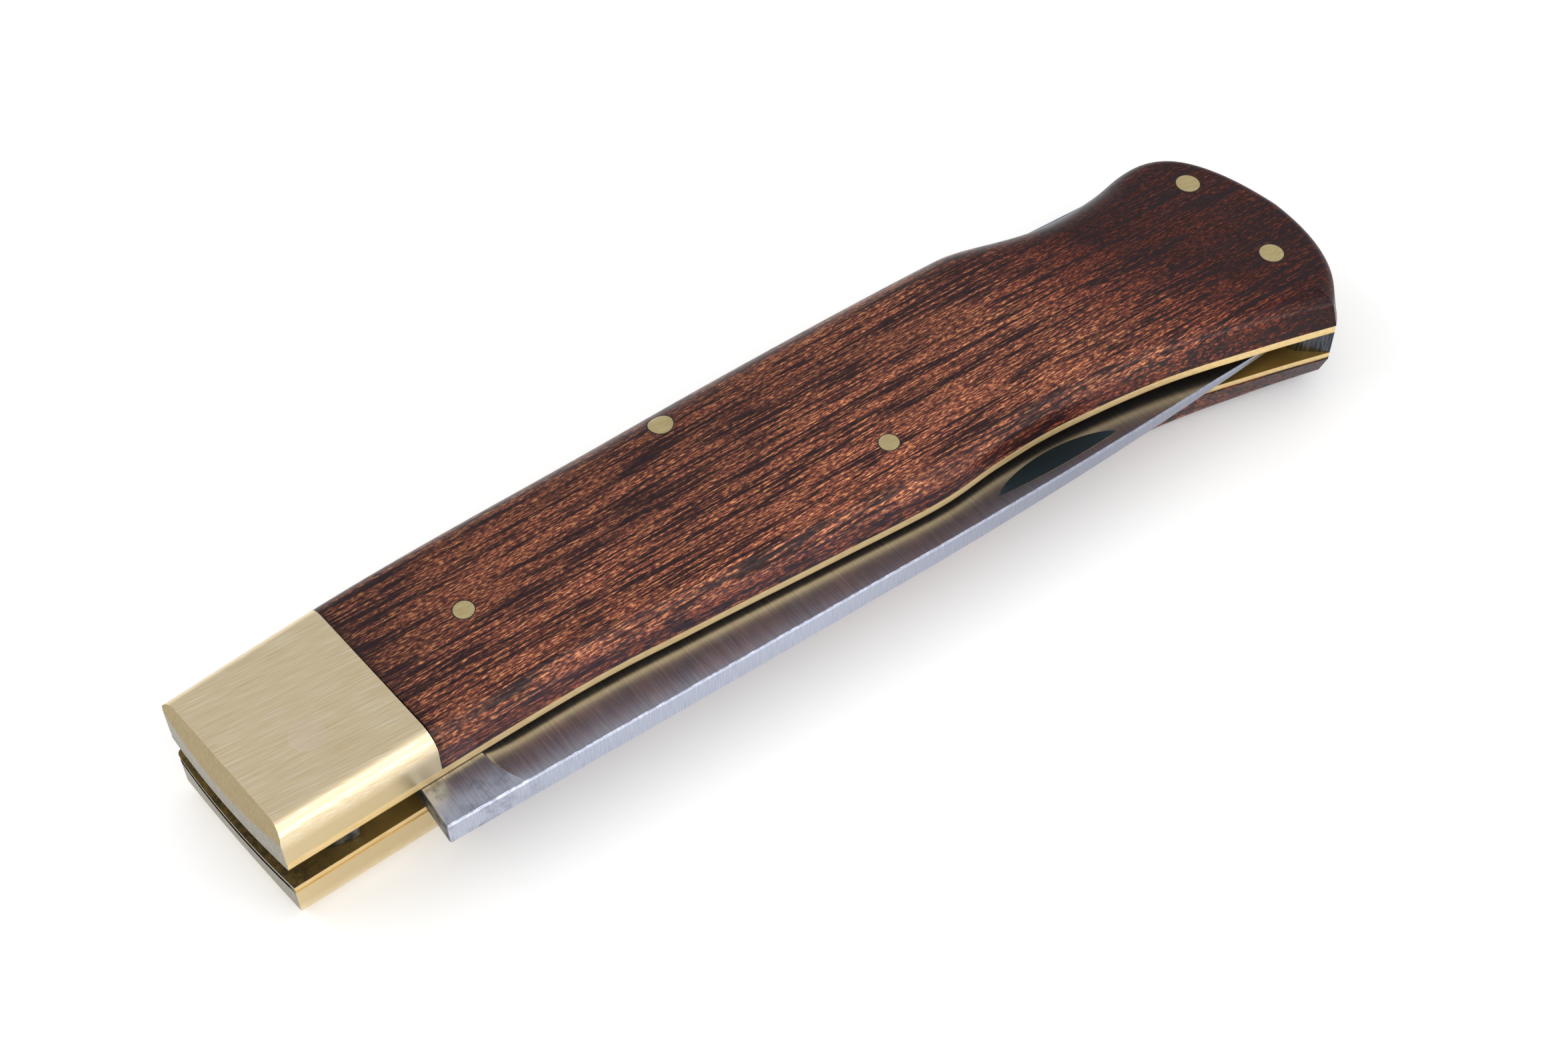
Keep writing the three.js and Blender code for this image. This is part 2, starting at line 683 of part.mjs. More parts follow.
const sides = [['upper', 1], ['lower', -1]];
for (const [name, side] of sides) {
  addPiece(`${name}_scale`, scale(side), hardwood, thinned);
  addPiece(`${name}_bolster`, bolster(side), brass);
  addPiece(`${name}_liner`, liner(side), brass);
  for (const [where, centre] of Object.entries(scaleRivets)) {
    addPiece(`${name}_${where}_rivet`, rivet(centre, side), pinBrass);
  }
  for (const [where, centre] of Object.entries(bolsterRivets)) {
    addPiece(`${name}_bolster_rivet_${where}`, bolsterRivet(centre, side), pinBrass);
  }
}
addPiece('pivot_pin', pin([0, 0], pivotRadius), brass);
addPiece('lock_bar_pin', pin(rockerCentre, rockerRadius), pinBrass);
addPiece('butt_pin_rear', pin(buttPins.rear, buttPinRadius), pinBrass, thinned);
addPiece('butt_pin_front', pin(buttPins.front, buttPinRadius), pinBrass, thinned);
addPiece('lock_bar', lockBar(), steel);
addPiece('lock_spring', slab(springShape(), -barHalf, barHalf), springSteel);
addPiece('butt_spacer', buttSpacer(), steel);
const bladeMesh = addPiece('blade', blade(), steel);
bladeMesh.rotation.z = -bladeTilt;

// Turned so that the blade lies along X, set down on Z = 0 with the footprint centred
turned.rotation.z = bladeTilt;
knife.updateMatrixWorld(true);
const size = new THREE.Box3().setFromObject(knife, true);
knife.position.set(-(size.min.x + size.max.x) / 2, -(size.min.y + size.max.y) / 2, handleHalf);
knife.updateMatrixWorld(true);

export default knife;
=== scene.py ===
# Lock-back folding knife, closed, lying on its side: brass bolsters, dark hardwood scales,
# brass liners, hollow-ground blade. Lengths in the dictionaries are millimetres, and the
# handle is worked out round the blade's pivot, X to the butt and Y to the back edge.
import json
import math

import bpy
import numpy as np
from mathutils import Matrix, Vector


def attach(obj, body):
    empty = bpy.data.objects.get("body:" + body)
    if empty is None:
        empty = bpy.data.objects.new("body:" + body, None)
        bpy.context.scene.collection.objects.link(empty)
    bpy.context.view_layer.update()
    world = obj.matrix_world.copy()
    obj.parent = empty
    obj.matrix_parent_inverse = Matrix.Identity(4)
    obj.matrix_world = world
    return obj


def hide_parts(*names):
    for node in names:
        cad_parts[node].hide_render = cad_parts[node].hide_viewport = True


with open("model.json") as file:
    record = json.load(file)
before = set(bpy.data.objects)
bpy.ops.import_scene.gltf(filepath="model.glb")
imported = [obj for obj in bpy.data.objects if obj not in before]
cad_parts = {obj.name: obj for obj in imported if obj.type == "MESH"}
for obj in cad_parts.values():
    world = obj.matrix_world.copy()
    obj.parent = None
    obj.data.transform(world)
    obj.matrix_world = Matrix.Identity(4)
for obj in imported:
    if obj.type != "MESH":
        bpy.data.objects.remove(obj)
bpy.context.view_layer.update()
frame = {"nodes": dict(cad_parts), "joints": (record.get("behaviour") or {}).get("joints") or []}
nodes = frame["nodes"]
pivotJoint = next(j for j in frame["joints"] if j["name"] == "blade_pivot")
pivotPlace = np.array(pivotJoint["pos_m"]) * 1000.0
print("frame loaded:", len(nodes), "nodes")

handle = {
    # outline: front end, back edge with its thumb scoop, butt, and the leads of the butt's curves
    "frontReach": 7.92, "frontBulge": 0.4, "frontSkew": 0.2, "frontCorner": 0.9, "frontDepth": 7.05,
    "backHeight": 12.4, "backFall": 8.0, "backSpan": 116.0,
    "scoopX": 96.65, "scoopFront": 13.0, "scoopRear": 16.6, "scoopDepth": 2.3,
    "humpX": 105.7, "humpLead": 7.7, "buttReach": 117.1, "buttMid": 10.8,
    "buttCornerX": 111.0, "buttCornerDepth": 25.35,
    "cornerLead": (3.5, 2.4), "backLead": (0.6, 9.3), "openingLead": (0.2, 6.5),
    # swelling of the opening edge: distance behind the pivot, depth under it
    "opening": ((-8.0, 7.05), (22, 9), (36, 10.9), (52, 13.45), (64, 15.25), (72, 15.4),
                (80, 16.1), (92, 18.6), (103.2, 22.4), (111.0, 25.35)),
    # thickness: half of the whole, half of the blade's slot, a liner, and the taper to the butt
    "half": 7.585, "slot": 1.58, "liner": 1.0, "taperStart": 76.0, "taperEven": 96.0, "taperDeg": 3.45,
    # rounded edges: the bolster's grows into the scale's behind the joint, and that into the butt's
    "joint": 8.45, "bolsterRound": 2.3, "openingRound": 1.9, "backRound": 3.9, "buttRound": 0.9,
    "openingBlend": 9.0, "backBlend": 35.0, "openingRoundEnd": 111.0, "backRoundEnd": 103.6,
    "buttRoundStart": 114.5,
    # the bolster's slanted facet, and the lean of the opening wall near the butt
    "bevelSet": 0.55, "bevelDeg": 17.0, "openingLean": 0.2, "leanStart": 74.0,
    # turn of the whole handle in the part, and points of the grid
    "turnDeg": 6.15, "curveSteps": 4000, "lengthSteps": 300, "buttSteps": 70,
    "wallSteps": 6, "roundSteps": 12, "topSteps": 26, "humpStep": 0.01, "mitreLimit": 0.35,
}
linerOuter = handle["slot"] + handle["liner"]


# From millimetres round the pivot to the part's own metres
def toPart(places, turnDeg=handle["turnDeg"]):
    turn = math.radians(turnDeg)
    c, s = math.cos(turn), math.sin(turn)
    x, y, z = np.moveaxis(places, -1, 0)
    return np.stack([x * c - y * s + pivotPlace[0], x * s + y * c + pivotPlace[1],
                     z + pivotPlace[2]], axis=-1) / 1000.0


# From 0 to 1 with level ends: 3 t squared less 2 t cubed
def smoothStep(x, low, high):
    t = np.clip((x - low) / (high - low), 0, 1)
    return t * t * (3 - 2 * t)


# Points nearer than merge become one, and edges shorter than smallest go
meshing = {"merge": 0.002, "smallest": 0.001, "bevelFromDeg": 38.0, "bevelSteps": 2}


# Turns places and faces into a clean closed mesh that rides on a body. Marks are values at the
# points, which a material can read.
def makePiece(name, places, faces, body, sharpDeg=30.0, bevel=None, marks=None):
    mesh = bpy.data.meshes.new(name)
    mesh.from_pydata(places.tolist(), [], faces)
    for label, values in (marks or {}).items():
        mark = mesh.attributes.new(label, "FLOAT", "POINT")
        mark.data.foreach_set("value", values.ravel().astype(np.float32))
    piece = bpy.data.objects.new(name, mesh)
    bpy.context.collection.objects.link(piece)
    bpy.context.view_layer.objects.active = piece
    for other in bpy.context.selected_objects:
        other.select_set(False)
    piece.select_set(True)
    bpy.ops.object.mode_set(mode="EDIT")
    bpy.ops.mesh.select_all(action="SELECT")
    bpy.ops.mesh.remove_doubles(threshold=meshing["merge"] / 1000.0)
    bpy.ops.mesh.dissolve_degenerate(threshold=meshing["smallest"] / 1000.0)
    bpy.ops.mesh.normals_make_consistent(inside=False)
    bpy.ops.object.mode_set(mode="OBJECT")
    mesh.shade_smooth()
    mesh.set_sharp_from_angle(angle=math.radians(sharpDeg))
    if bevel:
        edge = piece.modifiers.new("brokenEdge", "BEVEL")
        edge.width = bevel / 1000.0
        edge.segments = meshing["bevelSteps"]
        edge.limit_method = "ANGLE"
        edge.angle_limit = math.radians(meshing["bevelFromDeg"])
        edge.harden_normals = True
    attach(piece, body)
    return piece


# Faces of a grid of points given row by row, whose last column joins its first. In a looped grid
# the last row joins the first as well.
def gridFaces(rows, columns, looped=False, start=0):
    i, j = np.meshgrid(np.arange(rows if looped else rows - 1), np.arange(columns), indexing="ij")
    below, right = (i + 1) % rows * columns, (j + 1) % columns
    corners = [i * columns + j, i * columns + right, below + right, below + j]
    return (np.stack(corners, axis=-1).reshape(-1, 4) + start).tolist()


# A solid whose rings are the rows of a grid, with a face across its first and its last row where
# caps says so: its points in the part, and its faces
def ringSolid(grid, caps=(True, True), turnDeg=handle["turnDeg"]):
    rows, columns = grid.shape[:2]
    faces = gridFaces(rows, columns)
    for first, capped in zip((0, (rows - 1) * columns), caps):
        if capped:
            faces.append(list(range(first, first + columns)))
    return toPart(grid, turnDeg).reshape(-1, 3), faces


# Back edge: a parabola, less a scoop that is a power of (1 - distance squared)
def backEdge(x):
    along = (x + handle["frontReach"]) / handle["backSpan"]
    reach = np.where(x < handle["scoopX"], handle["scoopFront"], handle["scoopRear"])
    share = np.minimum(1, np.abs(x - handle["scoopX"]) / reach)
    return (handle["backHeight"] - handle["backFall"] * along ** 2
            - handle["scoopDepth"] * (1 - share ** 2) ** 2)


# Opening edge: a Catmull-Rom curve through its swellings, each span a cubic in its own share
def openingEdge(x):
    knots = np.array([(place, -depth) for place, depth in handle["opening"]], float)
    padded = np.vstack([knots[0], knots, knots[-1]])
    t = np.linspace(0, len(knots) - 1, handle["curveSteps"])
    k = np.minimum(t.astype(int), len(knots) - 2)
    w = (t - k)[:, None]
    p0, p1, p2, p3 = padded[k], padded[k + 1], padded[k + 2], padded[k + 3]
    v0, v1 = (p2 - p0) / 2, (p3 - p1) / 2
    curve = ((2 * p1 - 2 * p2 + v0 + v1) * w ** 3 + (-3 * p1 + 3 * p2 - 2 * v0 - v1) * w ** 2
             + v0 * w + p1)
    return np.interp(x, curve[:, 0], curve[:, 1])


# Cubic Bezier curve through its first and last point
def bezier(points, count):
    t = np.linspace(0, 1, count)[:, None]
    p = np.array(points, float)
    return ((1 - t) ** 3 * p[0] + 3 * (1 - t) ** 2 * t * p[1] + 3 * (1 - t) * t ** 2 * p[2]
            + t ** 3 * p[3])


# Both edges from one place near the front to the end of the butt, paired point by point
def edgePairs(front):
    tip = np.array([handle["buttReach"], -handle["buttMid"]])
    corner = np.array([handle["buttCornerX"], -handle["buttCornerDepth"]])
    share = np.linspace(0, 1, handle["lengthSteps"], endpoint=False)
    x = front + (corner[0] - front) * share
    opening = np.stack([x, openingEdge(x)], axis=-1)
    x = front + (handle["humpX"] - front) * share
    back = np.stack([x, backEdge(x)], axis=-1)
    # the butt is two curves that meet at its tip, the second in line with the back edge
    buttOpening = bezier([corner, corner + handle["cornerLead"], tip - handle["openingLead"], tip],
                         handle["buttSteps"])
    x = handle["humpX"] + np.array([0, handle["humpStep"]])
    hump, past = np.stack([x, backEdge(x)], axis=-1)
    lead = (past - hump) / np.linalg.norm(past - hump) * handle["humpLead"]
    backwards = np.array([-1, 1]) * handle["backLead"]
    buttBack = bezier([hump, hump + lead, tip + backwards, tip], handle["buttSteps"])
    return np.vstack([opening, buttOpening]), np.vstack([back, buttBack])


# Inward direction at each point of an open line, long enough to move both its spans by one
def inwardOf(line, turn, first, last):
    before = np.vstack([first, line[:-1]])
    after = np.vstack([line[1:], last])
    a = line - before
    b = after - line
    a /= np.maximum(np.linalg.norm(a, axis=1), 1e-9)[:, None]  # two points may coincide
    b /= np.maximum(np.linalg.norm(b, axis=1), 1e-9)[:, None]
    total = np.stack([-a[:, 1] - b[:, 1], a[:, 0] + b[:, 0]], axis=-1) * turn
    return total / np.maximum(1 + (a * b).sum(axis=1), handle["mitreLimit"])[:, None]


# Half thickness: it thins by a square from taperStart and evenly from taperEven on
def thinnedHalf(x):
    length = handle["taperEven"] - handle["taperStart"]
    along = np.clip((x - handle["taperStart"]) / length, 0, 1)
    run = length * along ** 2 / 2 + np.maximum(0, x - handle["taperEven"])
    return handle["half"] - run * math.tan(math.radians(handle["taperDeg"]))


# Radius of the rounded outer edge: the bolster's, then the scale's, then the butt's
def roundAt(x, part):
    radius = handle[part + "Round"]
    entering = smoothStep(x, handle["joint"], handle["joint"] + handle[part + "Blend"])
    leaving = smoothStep(x, handle[part + "RoundEnd"], handle["buttRoundStart"])
    return (handle["bolsterRound"] + (radius - handle["bolsterRound"]) * entering
            + (handle["buttRound"] - radius) * leaving)


# The opening wall leans in towards the butt by a share of its height
def leanAt(x):
    growing = smoothStep(x, handle["leanStart"], handle["buttCornerX"])
    fading = smoothStep(x, handle["buttCornerX"], handle["buttReach"])
    return handle["openingLean"] * growing * (1 - fading)


# Keeps inset points from passing the mitre of the sharpest corner, where butt and opening meet
def heldAtCorner(line, inward, inset, x, y):
    corner = (handle["buttCornerX"], -handle["buttCornerDepth"])
    k = int(np.argmin(np.abs(line - corner).sum(axis=1)))
    into = (line[k] - line[k - 1]) / np.linalg.norm(line[k] - line[k - 1])
    out = (line[k + 1] - line[k]) / np.linalg.norm(line[k + 1] - line[k])
    cx, cy = line[k, 0] + inward[k, 0] * inset, line[k, 1] + inward[k, 1] * inset
    row = np.arange(len(line))[:, None]
    past = np.where(row < k, (x - cx) * into[0] + (y - cy) * into[1],
                    -(x - cx) * out[0] - (y - cy) * out[1]) > 0
    return np.where(past, cx, x), np.where(past, cy, y)


# One side of the section: up the wall, which leans in, and round a quarter circle to the top
def sideColumns(line, inward, radius, lean, cornered):
    wallSteps, roundSteps = handle["wallSteps"], handle["roundSteps"]
    turn = np.concatenate([np.zeros(wallSteps), np.linspace(0, math.pi / 2, roundSteps + 1)])
    wall = np.concatenate([np.arange(wallSteps) / wallSteps, np.ones(roundSteps + 1)])
    flat = handle["half"] - radius[:, None]
    z = linerOuter + (flat - linerOuter) * wall[None] + radius[:, None] * np.sin(turn)[None]
    inset = radius[:, None] * (1 - np.cos(turn))[None] + lean[:, None] * (z - linerOuter)
    x = line[:, 0:1] + inward[:, 0:1] * inset
    y = line[:, 1:2] + inward[:, 1:2] * inset
    if cornered:
        x, y = heldAtCorner(line, inward, inset, x, y)
    return np.stack([x, y, z], axis=-1)


# Half sections from the liner up the wall, round the edge and across the top, for every pair
# of edge points: columns go opening side, top, back side, and rows go along the handle. Without
# an end they run round the butt.
def sectionGrid(front, end=None):
    opening, back = edgePairs(front)
    if end is None:
        endOpening, endBack = back[-2], opening[-2]
    else:
        x = front + (end - front) * np.linspace(0, 1, int((opening[:, 0] < end).sum()))
        opening, back = (np.stack([x, edge(x)], axis=-1) for edge in (openingEdge, backEdge))
        endOpening, endBack = opening[-1] * 2 - opening[-2], back[-1] * 2 - back[-2]
    inOpening = inwardOf(opening, 1, opening[0] * 2 - opening[1], endOpening)
    inBack = inwardOf(back, -1, back[0] * 2 - back[1], endBack)
    low = sideColumns(opening, inOpening, roundAt(opening[:, 0], "opening"),
                      leanAt(opening[:, 0]), end is None)
    high = sideColumns(back, inBack, roundAt(back[:, 0], "back"), np.zeros(len(back)), False)
    t = np.linspace(0, 1, handle["topSteps"] + 1)[1:-1][None, :, None]
    top = low[:, -1:] * (1 - t) + high[:, -1:] * t
    grid = np.concatenate([low, top, high[:, ::-1]], axis=1)
    share = (grid[..., 2] - linerOuter) / (handle["half"] - linerOuter)
    grid[..., 2] -= share * (handle["half"] - thinnedHalf(grid[..., 0]))
    return grid


# Scales: the section grid, which closes along its inner face, with a cap at the joint
scaleLook = {"jointGap": 0.04, "edge": 0.12}


def makeScale(name, side):
    grid = sectionGrid(handle["joint"] + scaleLook["jointGap"])
    places, faces = ringSolid(grid * (1, 1, side), caps=(True, False))
    piece = makePiece(name + "_wood", places, faces, "handle", bevel=scaleLook["edge"])
    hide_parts(name)
    return piece


# Bolsters: as the scales, with a rounded and bevelled front end
bolsterLook = {"edge": 0.14, "levels": 40, "sharpDeg": 9.0}


# Front end: X is the furthest back of a shallow parabola across the end and a slanted plane.
# The corner with the back edge is rounded by a square of a root.
def frontCurve(y):
    cornerY = handle["backHeight"] - handle["frontCorner"]
    middle = (cornerY - handle["frontDepth"]) / 2
    halfWidth = (cornerY + handle["frontDepth"]) / 2
    bulge = handle["frontBulge"] * np.maximum(0, 1 - ((y - middle) / halfWidth) ** 2)
    skew = handle["frontSkew"] * np.minimum(1, (y + handle["frontDepth"]) / (2 * halfWidth))
    fromBack = np.clip((handle["backHeight"] - y) / handle["frontCorner"], 0, 1)
    return -handle["frontReach"] - skew - bulge + handle["frontCorner"] * (1 - np.sqrt(fromBack)) ** 2


# The slanted plane, which falls back evenly towards the top
def frontPlane(y, z):
    fullDepth = handle["backHeight"] + handle["frontDepth"]
    skew = handle["frontSkew"] * np.minimum(1, (y + handle["frontDepth"]) / fullDepth)
    under = handle["half"] - np.abs(z)
    slant = handle["bevelSet"] - under * math.tan(math.radians(handle["bevelDeg"]))
    return -handle["frontReach"] - skew + slant


def frontX(y, z):
    return np.maximum(frontCurve(y), frontPlane(y, z))


def makeBolster(name, side):
    grid = sectionGrid(-handle["frontReach"], handle["joint"])
    rows, columns = grid.shape[:2]
    share = np.linspace(0, 1, rows)[:, None]
    start = frontX(grid[0, :, 1], grid[0, :, 2])[None]
    grid[..., 0] = start + (handle["joint"] - start) * share
    # front face: each column of the profile let down to the liner in even steps
    level = np.linspace(0, 1, bolsterLook["levels"] + 1)[:, None]
    y = np.broadcast_to(grid[0, :, 1], (len(level), columns))
    z = linerOuter + (grid[0, :, 2] - linerOuter) * level
    face = np.stack([frontX(y, z), y, z], axis=-1)
    face[-1] = grid[0]
    both = np.concatenate([face[:-1], grid], axis=0)
    places, faces = ringSolid(both * (1, 1, side), caps=(False, True))
    piece = makePiece(name + "_brass", places, faces, "handle", bolsterLook["sharpDeg"],
                      bolsterLook["edge"])
    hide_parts(name)
    return piece


# Liners: plates with the same outline, whose edge slopes in towards the wood, more and more.
# A level is a share of the thickness and a share of the slope.
linerLook = {
    "slope": 0.15, "levels": ((0, 0), (0.3, 0.1), (0.6, 0.35), (0.85, 0.7), (1, 1)),
    "endSteps": 24, "cornerSteps": 12,
}


def makeLiner(name, side):
    opening, back = edgePairs(-handle["frontReach"])
    # the front end follows the bolster's shallow curve and its rounded corner
    back = back[back[:, 0] > handle["frontCorner"] - handle["frontReach"] - handle["frontSkew"]]
    cornerY = handle["backHeight"] - handle["frontCorner"]
    falling = np.linspace(1, 0, linerLook["cornerSteps"])[1:] ** 2
    y = np.concatenate([np.linspace(opening[0, 1], cornerY, linerLook["endSteps"])[1:],
                        handle["backHeight"] - handle["frontCorner"] * falling])
    end = np.stack([frontX(y, np.full_like(y, linerOuter)), y], axis=-1)
    outline = np.vstack([opening, back[-2::-1], end[::-1]])
    inward = inwardOf(outline, 1, outline[-1:], outline[:1])
    z, inset = (np.array(share)[:, None] for share in zip(*linerLook["levels"]))
    z = (handle["slot"] + handle["liner"] * z) * side + 0 * outline[None, :, 0]
    flat = outline + inward * (linerLook["slope"] * inset)[..., None]
    places, faces = ringSolid(np.concatenate([flat, z[..., None]], axis=-1))
    piece = makePiece(name + "_plate", places, faces, "handle")
    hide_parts(name)
    return piece


# Blade: hollow ground from the spine, with a scooped nail nick
blade = {
    "half": 1.5, "spineDepth": 12.05, "dropStart": 60.0, "drop": 1.95, "dropPower": 1.8, "tipX": 109.2,
    "belly": 5.5, "bellyStart": 50.0, "bellyPower": 2.3, "shoulderX": 6.83,
    "plungeX": 15.4, "plungeLength": 4.0, "plungeLean": 2.0, "leanDepth": 6.0, "leanFade": 24.0,
    "edgeHalf": 0.08, "web": 0.1, "hollow": 1.6, "thinning": 0.82, "break": 0.2, "endBreak": 0.09,
    "nickFrom": 71.2, "nickTo": 86.4, "nickSpine": 10.2, "nickBow": 0.35, "nickHigh": 2.35,
    "nickDeep": 0.4, "nickLip": 0.1, "nickLipDrop": 0.03, "nickWall": 0.03, "nickClosed": 0.06,
    "nickPower": 0.8, "rowGap": 0.5, "nickInto": 2.0, "tipGap": 0.05,
    # near the tip these are held to shares of the width, so that they stay in order, and the
    # broken corner of the spine to a share of the half thickness
    "lowShare": 0.06, "closedShare": 0.02, "wallShare": 0.005, "lipShare": 0.02, "breakShare": 0.03,
    "breakOfHalf": 0.4,
    # rows in the ricasso, plunge, faces, ends of the nick, its middle, and tip; then columns from
    # spine to nick, over the nick, from nick to edge, and on the lower side
    "rows": (24, 40, 90, 40, 90, 80), "columns": (16, 14, 40, 30), "sharpDeg": 24.0,
}


# The spine is straight, then drops by a power of the share of the way to the tip
def spineLine(x):
    along = np.maximum(0, (x - blade["dropStart"]) / (blade["tipX"] - blade["dropStart"]))
    return -blade["spineDepth"] + blade["drop"] * along ** blade["dropPower"]


# The edge does the same from its belly on, and meets the spine at the tip
def edgeLine(x):
    along = np.maximum(0, (x - blade["bellyStart"]) / (blade["tipX"] - blade["bellyStart"]))
    end = spineLine(np.array(blade["tipX"]))
    return blade["belly"] - (blade["belly"] - end) * along ** blade["bellyPower"]


# How far the grind has got behind the plunge line: a quarter circle from 0 to 1
def coveShare(x):
    cove = np.clip((x - blade["plungeX"]) / blade["plungeLength"], 0, 1)
    return np.sqrt(1 - (1 - cove) ** 2)


# Half thickness: the stock thins along the length by a cube, and towards the edge by a power
def grindHalf(x, share):
    span = blade["tipX"] - blade["plungeX"]
    stock = blade["half"] * (1 - blade["thinning"] * (np.maximum(0, x - blade["plungeX"]) / span) ** 3)
    hollow = stock * (blade["web"] + (1 - blade["web"]) * (1 - share) ** blade["hollow"])
    return blade["half"] + (hollow - blade["half"]) * coveShare(x)


# Sections lean forward under the spine by a parabola, most at the plunge line
def leaned(x, depth):
    rise = 1 - np.minimum(1, depth / blade["leanDepth"])
    before = (x - blade["shoulderX"]) / (blade["plungeX"] - blade["shoulderX"])
    behind = 1 - (x - blade["plungeX"]) / blade["leanFade"]
    return x - blade["plungeLean"] * (1 - rise ** 2) * np.clip(np.minimum(before, behind), 0, 1)


# Even steps from one place to just before another
def evenly(start, end, count):
    return start + (end - start) * np.linspace(0, 1, count, endpoint=False)


# Rows are sections and columns go from the spine to the edge. On the upper side they keep to both
# sides of the nick, a crescent whose depth falls evenly from its straight side to its bowed one.
def makeBlade():
    ricasso, plunge, face, nickEnd, nickMiddle, tip = blade["rows"]
    aboveNick, overNick, belowNick, lowerSide = blade["columns"]
    nickFrom, nickTo = blade["nickFrom"], blade["nickTo"]
    gap, into = blade["rowGap"], blade["nickInto"]
    quarter = 1 - np.cos(np.linspace(0, math.pi / 2, plunge))
    stretches = ((blade["shoulderX"] + gap, blade["plungeX"], ricasso),
                 (blade["plungeX"] + blade["plungeLength"], nickFrom - gap, face),
                 (nickFrom - gap, nickFrom + into, nickEnd),
                 (nickFrom + into, nickTo - into, nickMiddle),
                 (nickTo - into, nickTo + gap, nickEnd),
                 (nickTo + gap, blade["tipX"] - blade["tipGap"], tip))
    x = np.unique(np.concatenate([
        [blade["shoulderX"], blade["shoulderX"] + blade["endBreak"]],
        blade["plungeX"] + blade["plungeLength"] * quarter,
        *(np.linspace(*stretch) for stretch in stretches)]))[:, None]
    width = edgeLine(x) - spineLine(x)
    u = np.clip((x - nickFrom) / (nickTo - nickFrom), 0, 1)
    arch = 4 * u * (1 - u)
    low = (-blade["nickSpine"] - blade["nickBow"] * arch - spineLine(x)) / width
    low = np.maximum(low, blade["lowShare"])
    bowed = blade["nickHigh"] * arch ** blade["nickPower"]
    opened = np.maximum(blade["nickClosed"], bowed) / width
    closed = np.minimum(blade["nickClosed"] / width, blade["closedShare"])
    high = low + np.where(arch > 0, opened, closed)
    wall = np.minimum(blade["nickWall"] / width, blade["wallShare"])
    lip = np.minimum(blade["nickLip"] / width, blade["lipShare"])
    broken = np.minimum(blade["break"] / width, blade["breakShare"])
    spine, edge = 0 * x, 1 + 0 * x
    upperShare = np.hstack([spine, evenly(broken, low - lip, aboveNick),
                            low - lip, low, evenly(low + wall, high, overNick), high,
                            high + wall, evenly(high + 3 * wall, edge, belowNick), edge])
    lowerShare = np.hstack([spine, evenly(broken, edge, lowerSide), edge])
    nick = slice(aboveNick + 3, aboveNick + 4 + overNick)
    depth = np.zeros_like(upperShare)
    depth[:, aboveNick + 2:aboveNick + 3] = blade["nickLipDrop"] * np.sqrt(arch)
    depth[:, nick] = blade["nickDeep"] * np.sqrt(arch) * (1 - np.linspace(0, 1, overNick + 1))[None]

    def surface(share, depth):
        half = grindHalf(x, share)
        half[:, 0] -= np.minimum(blade["break"], half[:, 0] * blade["breakOfHalf"])
        half[:, -1:] += (blade["edgeHalf"] - half[:, -1:]) * coveShare(x)
        half[0] -= blade["endBreak"]
        y = spineLine(x) + width * share
        return np.stack([leaned(x, width * share), y, half - depth], axis=-1)

    upper = surface(upperShare, depth)
    lower = surface(lowerShare, 0) * (1, 1, -1)
    ring = np.concatenate([upper, lower[:, ::-1]], axis=1)
    ring[0, [0, -1], 1] += blade["endBreak"]
    # marks: the floor of the nick, what the wheel has left, and the corners of the spine
    marks = {label: np.zeros(ring.shape[:2]) for label in ("nickFloor", "unground", "corner")}
    marks["nickFloor"][:, nick] = arch > 0
    marks["unground"] += 1 - coveShare(x)
    marks["corner"][:, [1, -2]] = 1.0
    return *ringSolid(ring, turnDeg=0.0), marks


# Tang: the flat plate from the shoulder round the pivot, with the lock's notch
tang = {"radius": 6.5, "drop": 0.8, "ride": 0.1, "relief": 0.15, "toothX": 0.2, "overlap": 0.03,
        "steps": 48}


# From the handle's directions to the blade's, which lies straight in the part
def inBlade(x, y):
    turn = math.radians(handle["turnDeg"])
    return (x * math.cos(turn) - y * math.sin(turn), x * math.sin(turn) + y * math.cos(turn))


# Outline: the root at the shoulder, the flat that the lug lies on when closed, an arc round the
# pivot, and the notch
def makeTang():
    radius = tang["radius"]
    seat = radius + tang["ride"] - tang["drop"] - tang["relief"]
    chord = math.acos(seat / radius)
    turn = math.radians(handle["turnDeg"])
    tooth = math.asin(tang["toothX"] / radius)
    angle = np.linspace(math.pi / 2 + chord, math.pi * 1.5 - tooth, tang["steps"])
    arc = np.stack(inBlade(radius * np.cos(angle), radius * np.sin(angle)), axis=-1)
    root = blade["shoulderX"] + tang["overlap"]
    floorY = (-seat + blade["shoulderX"] * math.sin(turn)) / math.cos(turn)
    outline = np.vstack([(root, floorY), (root, blade["belly"]),
                         inBlade(radius * math.sin(chord), seat), arc,
                         inBlade(-tang["toothX"], -seat)])
    levels = (blade["half"], -blade["half"])
    return ringSolid(np.stack([np.insert(outline, 2, z, axis=1) for z in levels]), turnDeg=0.0)


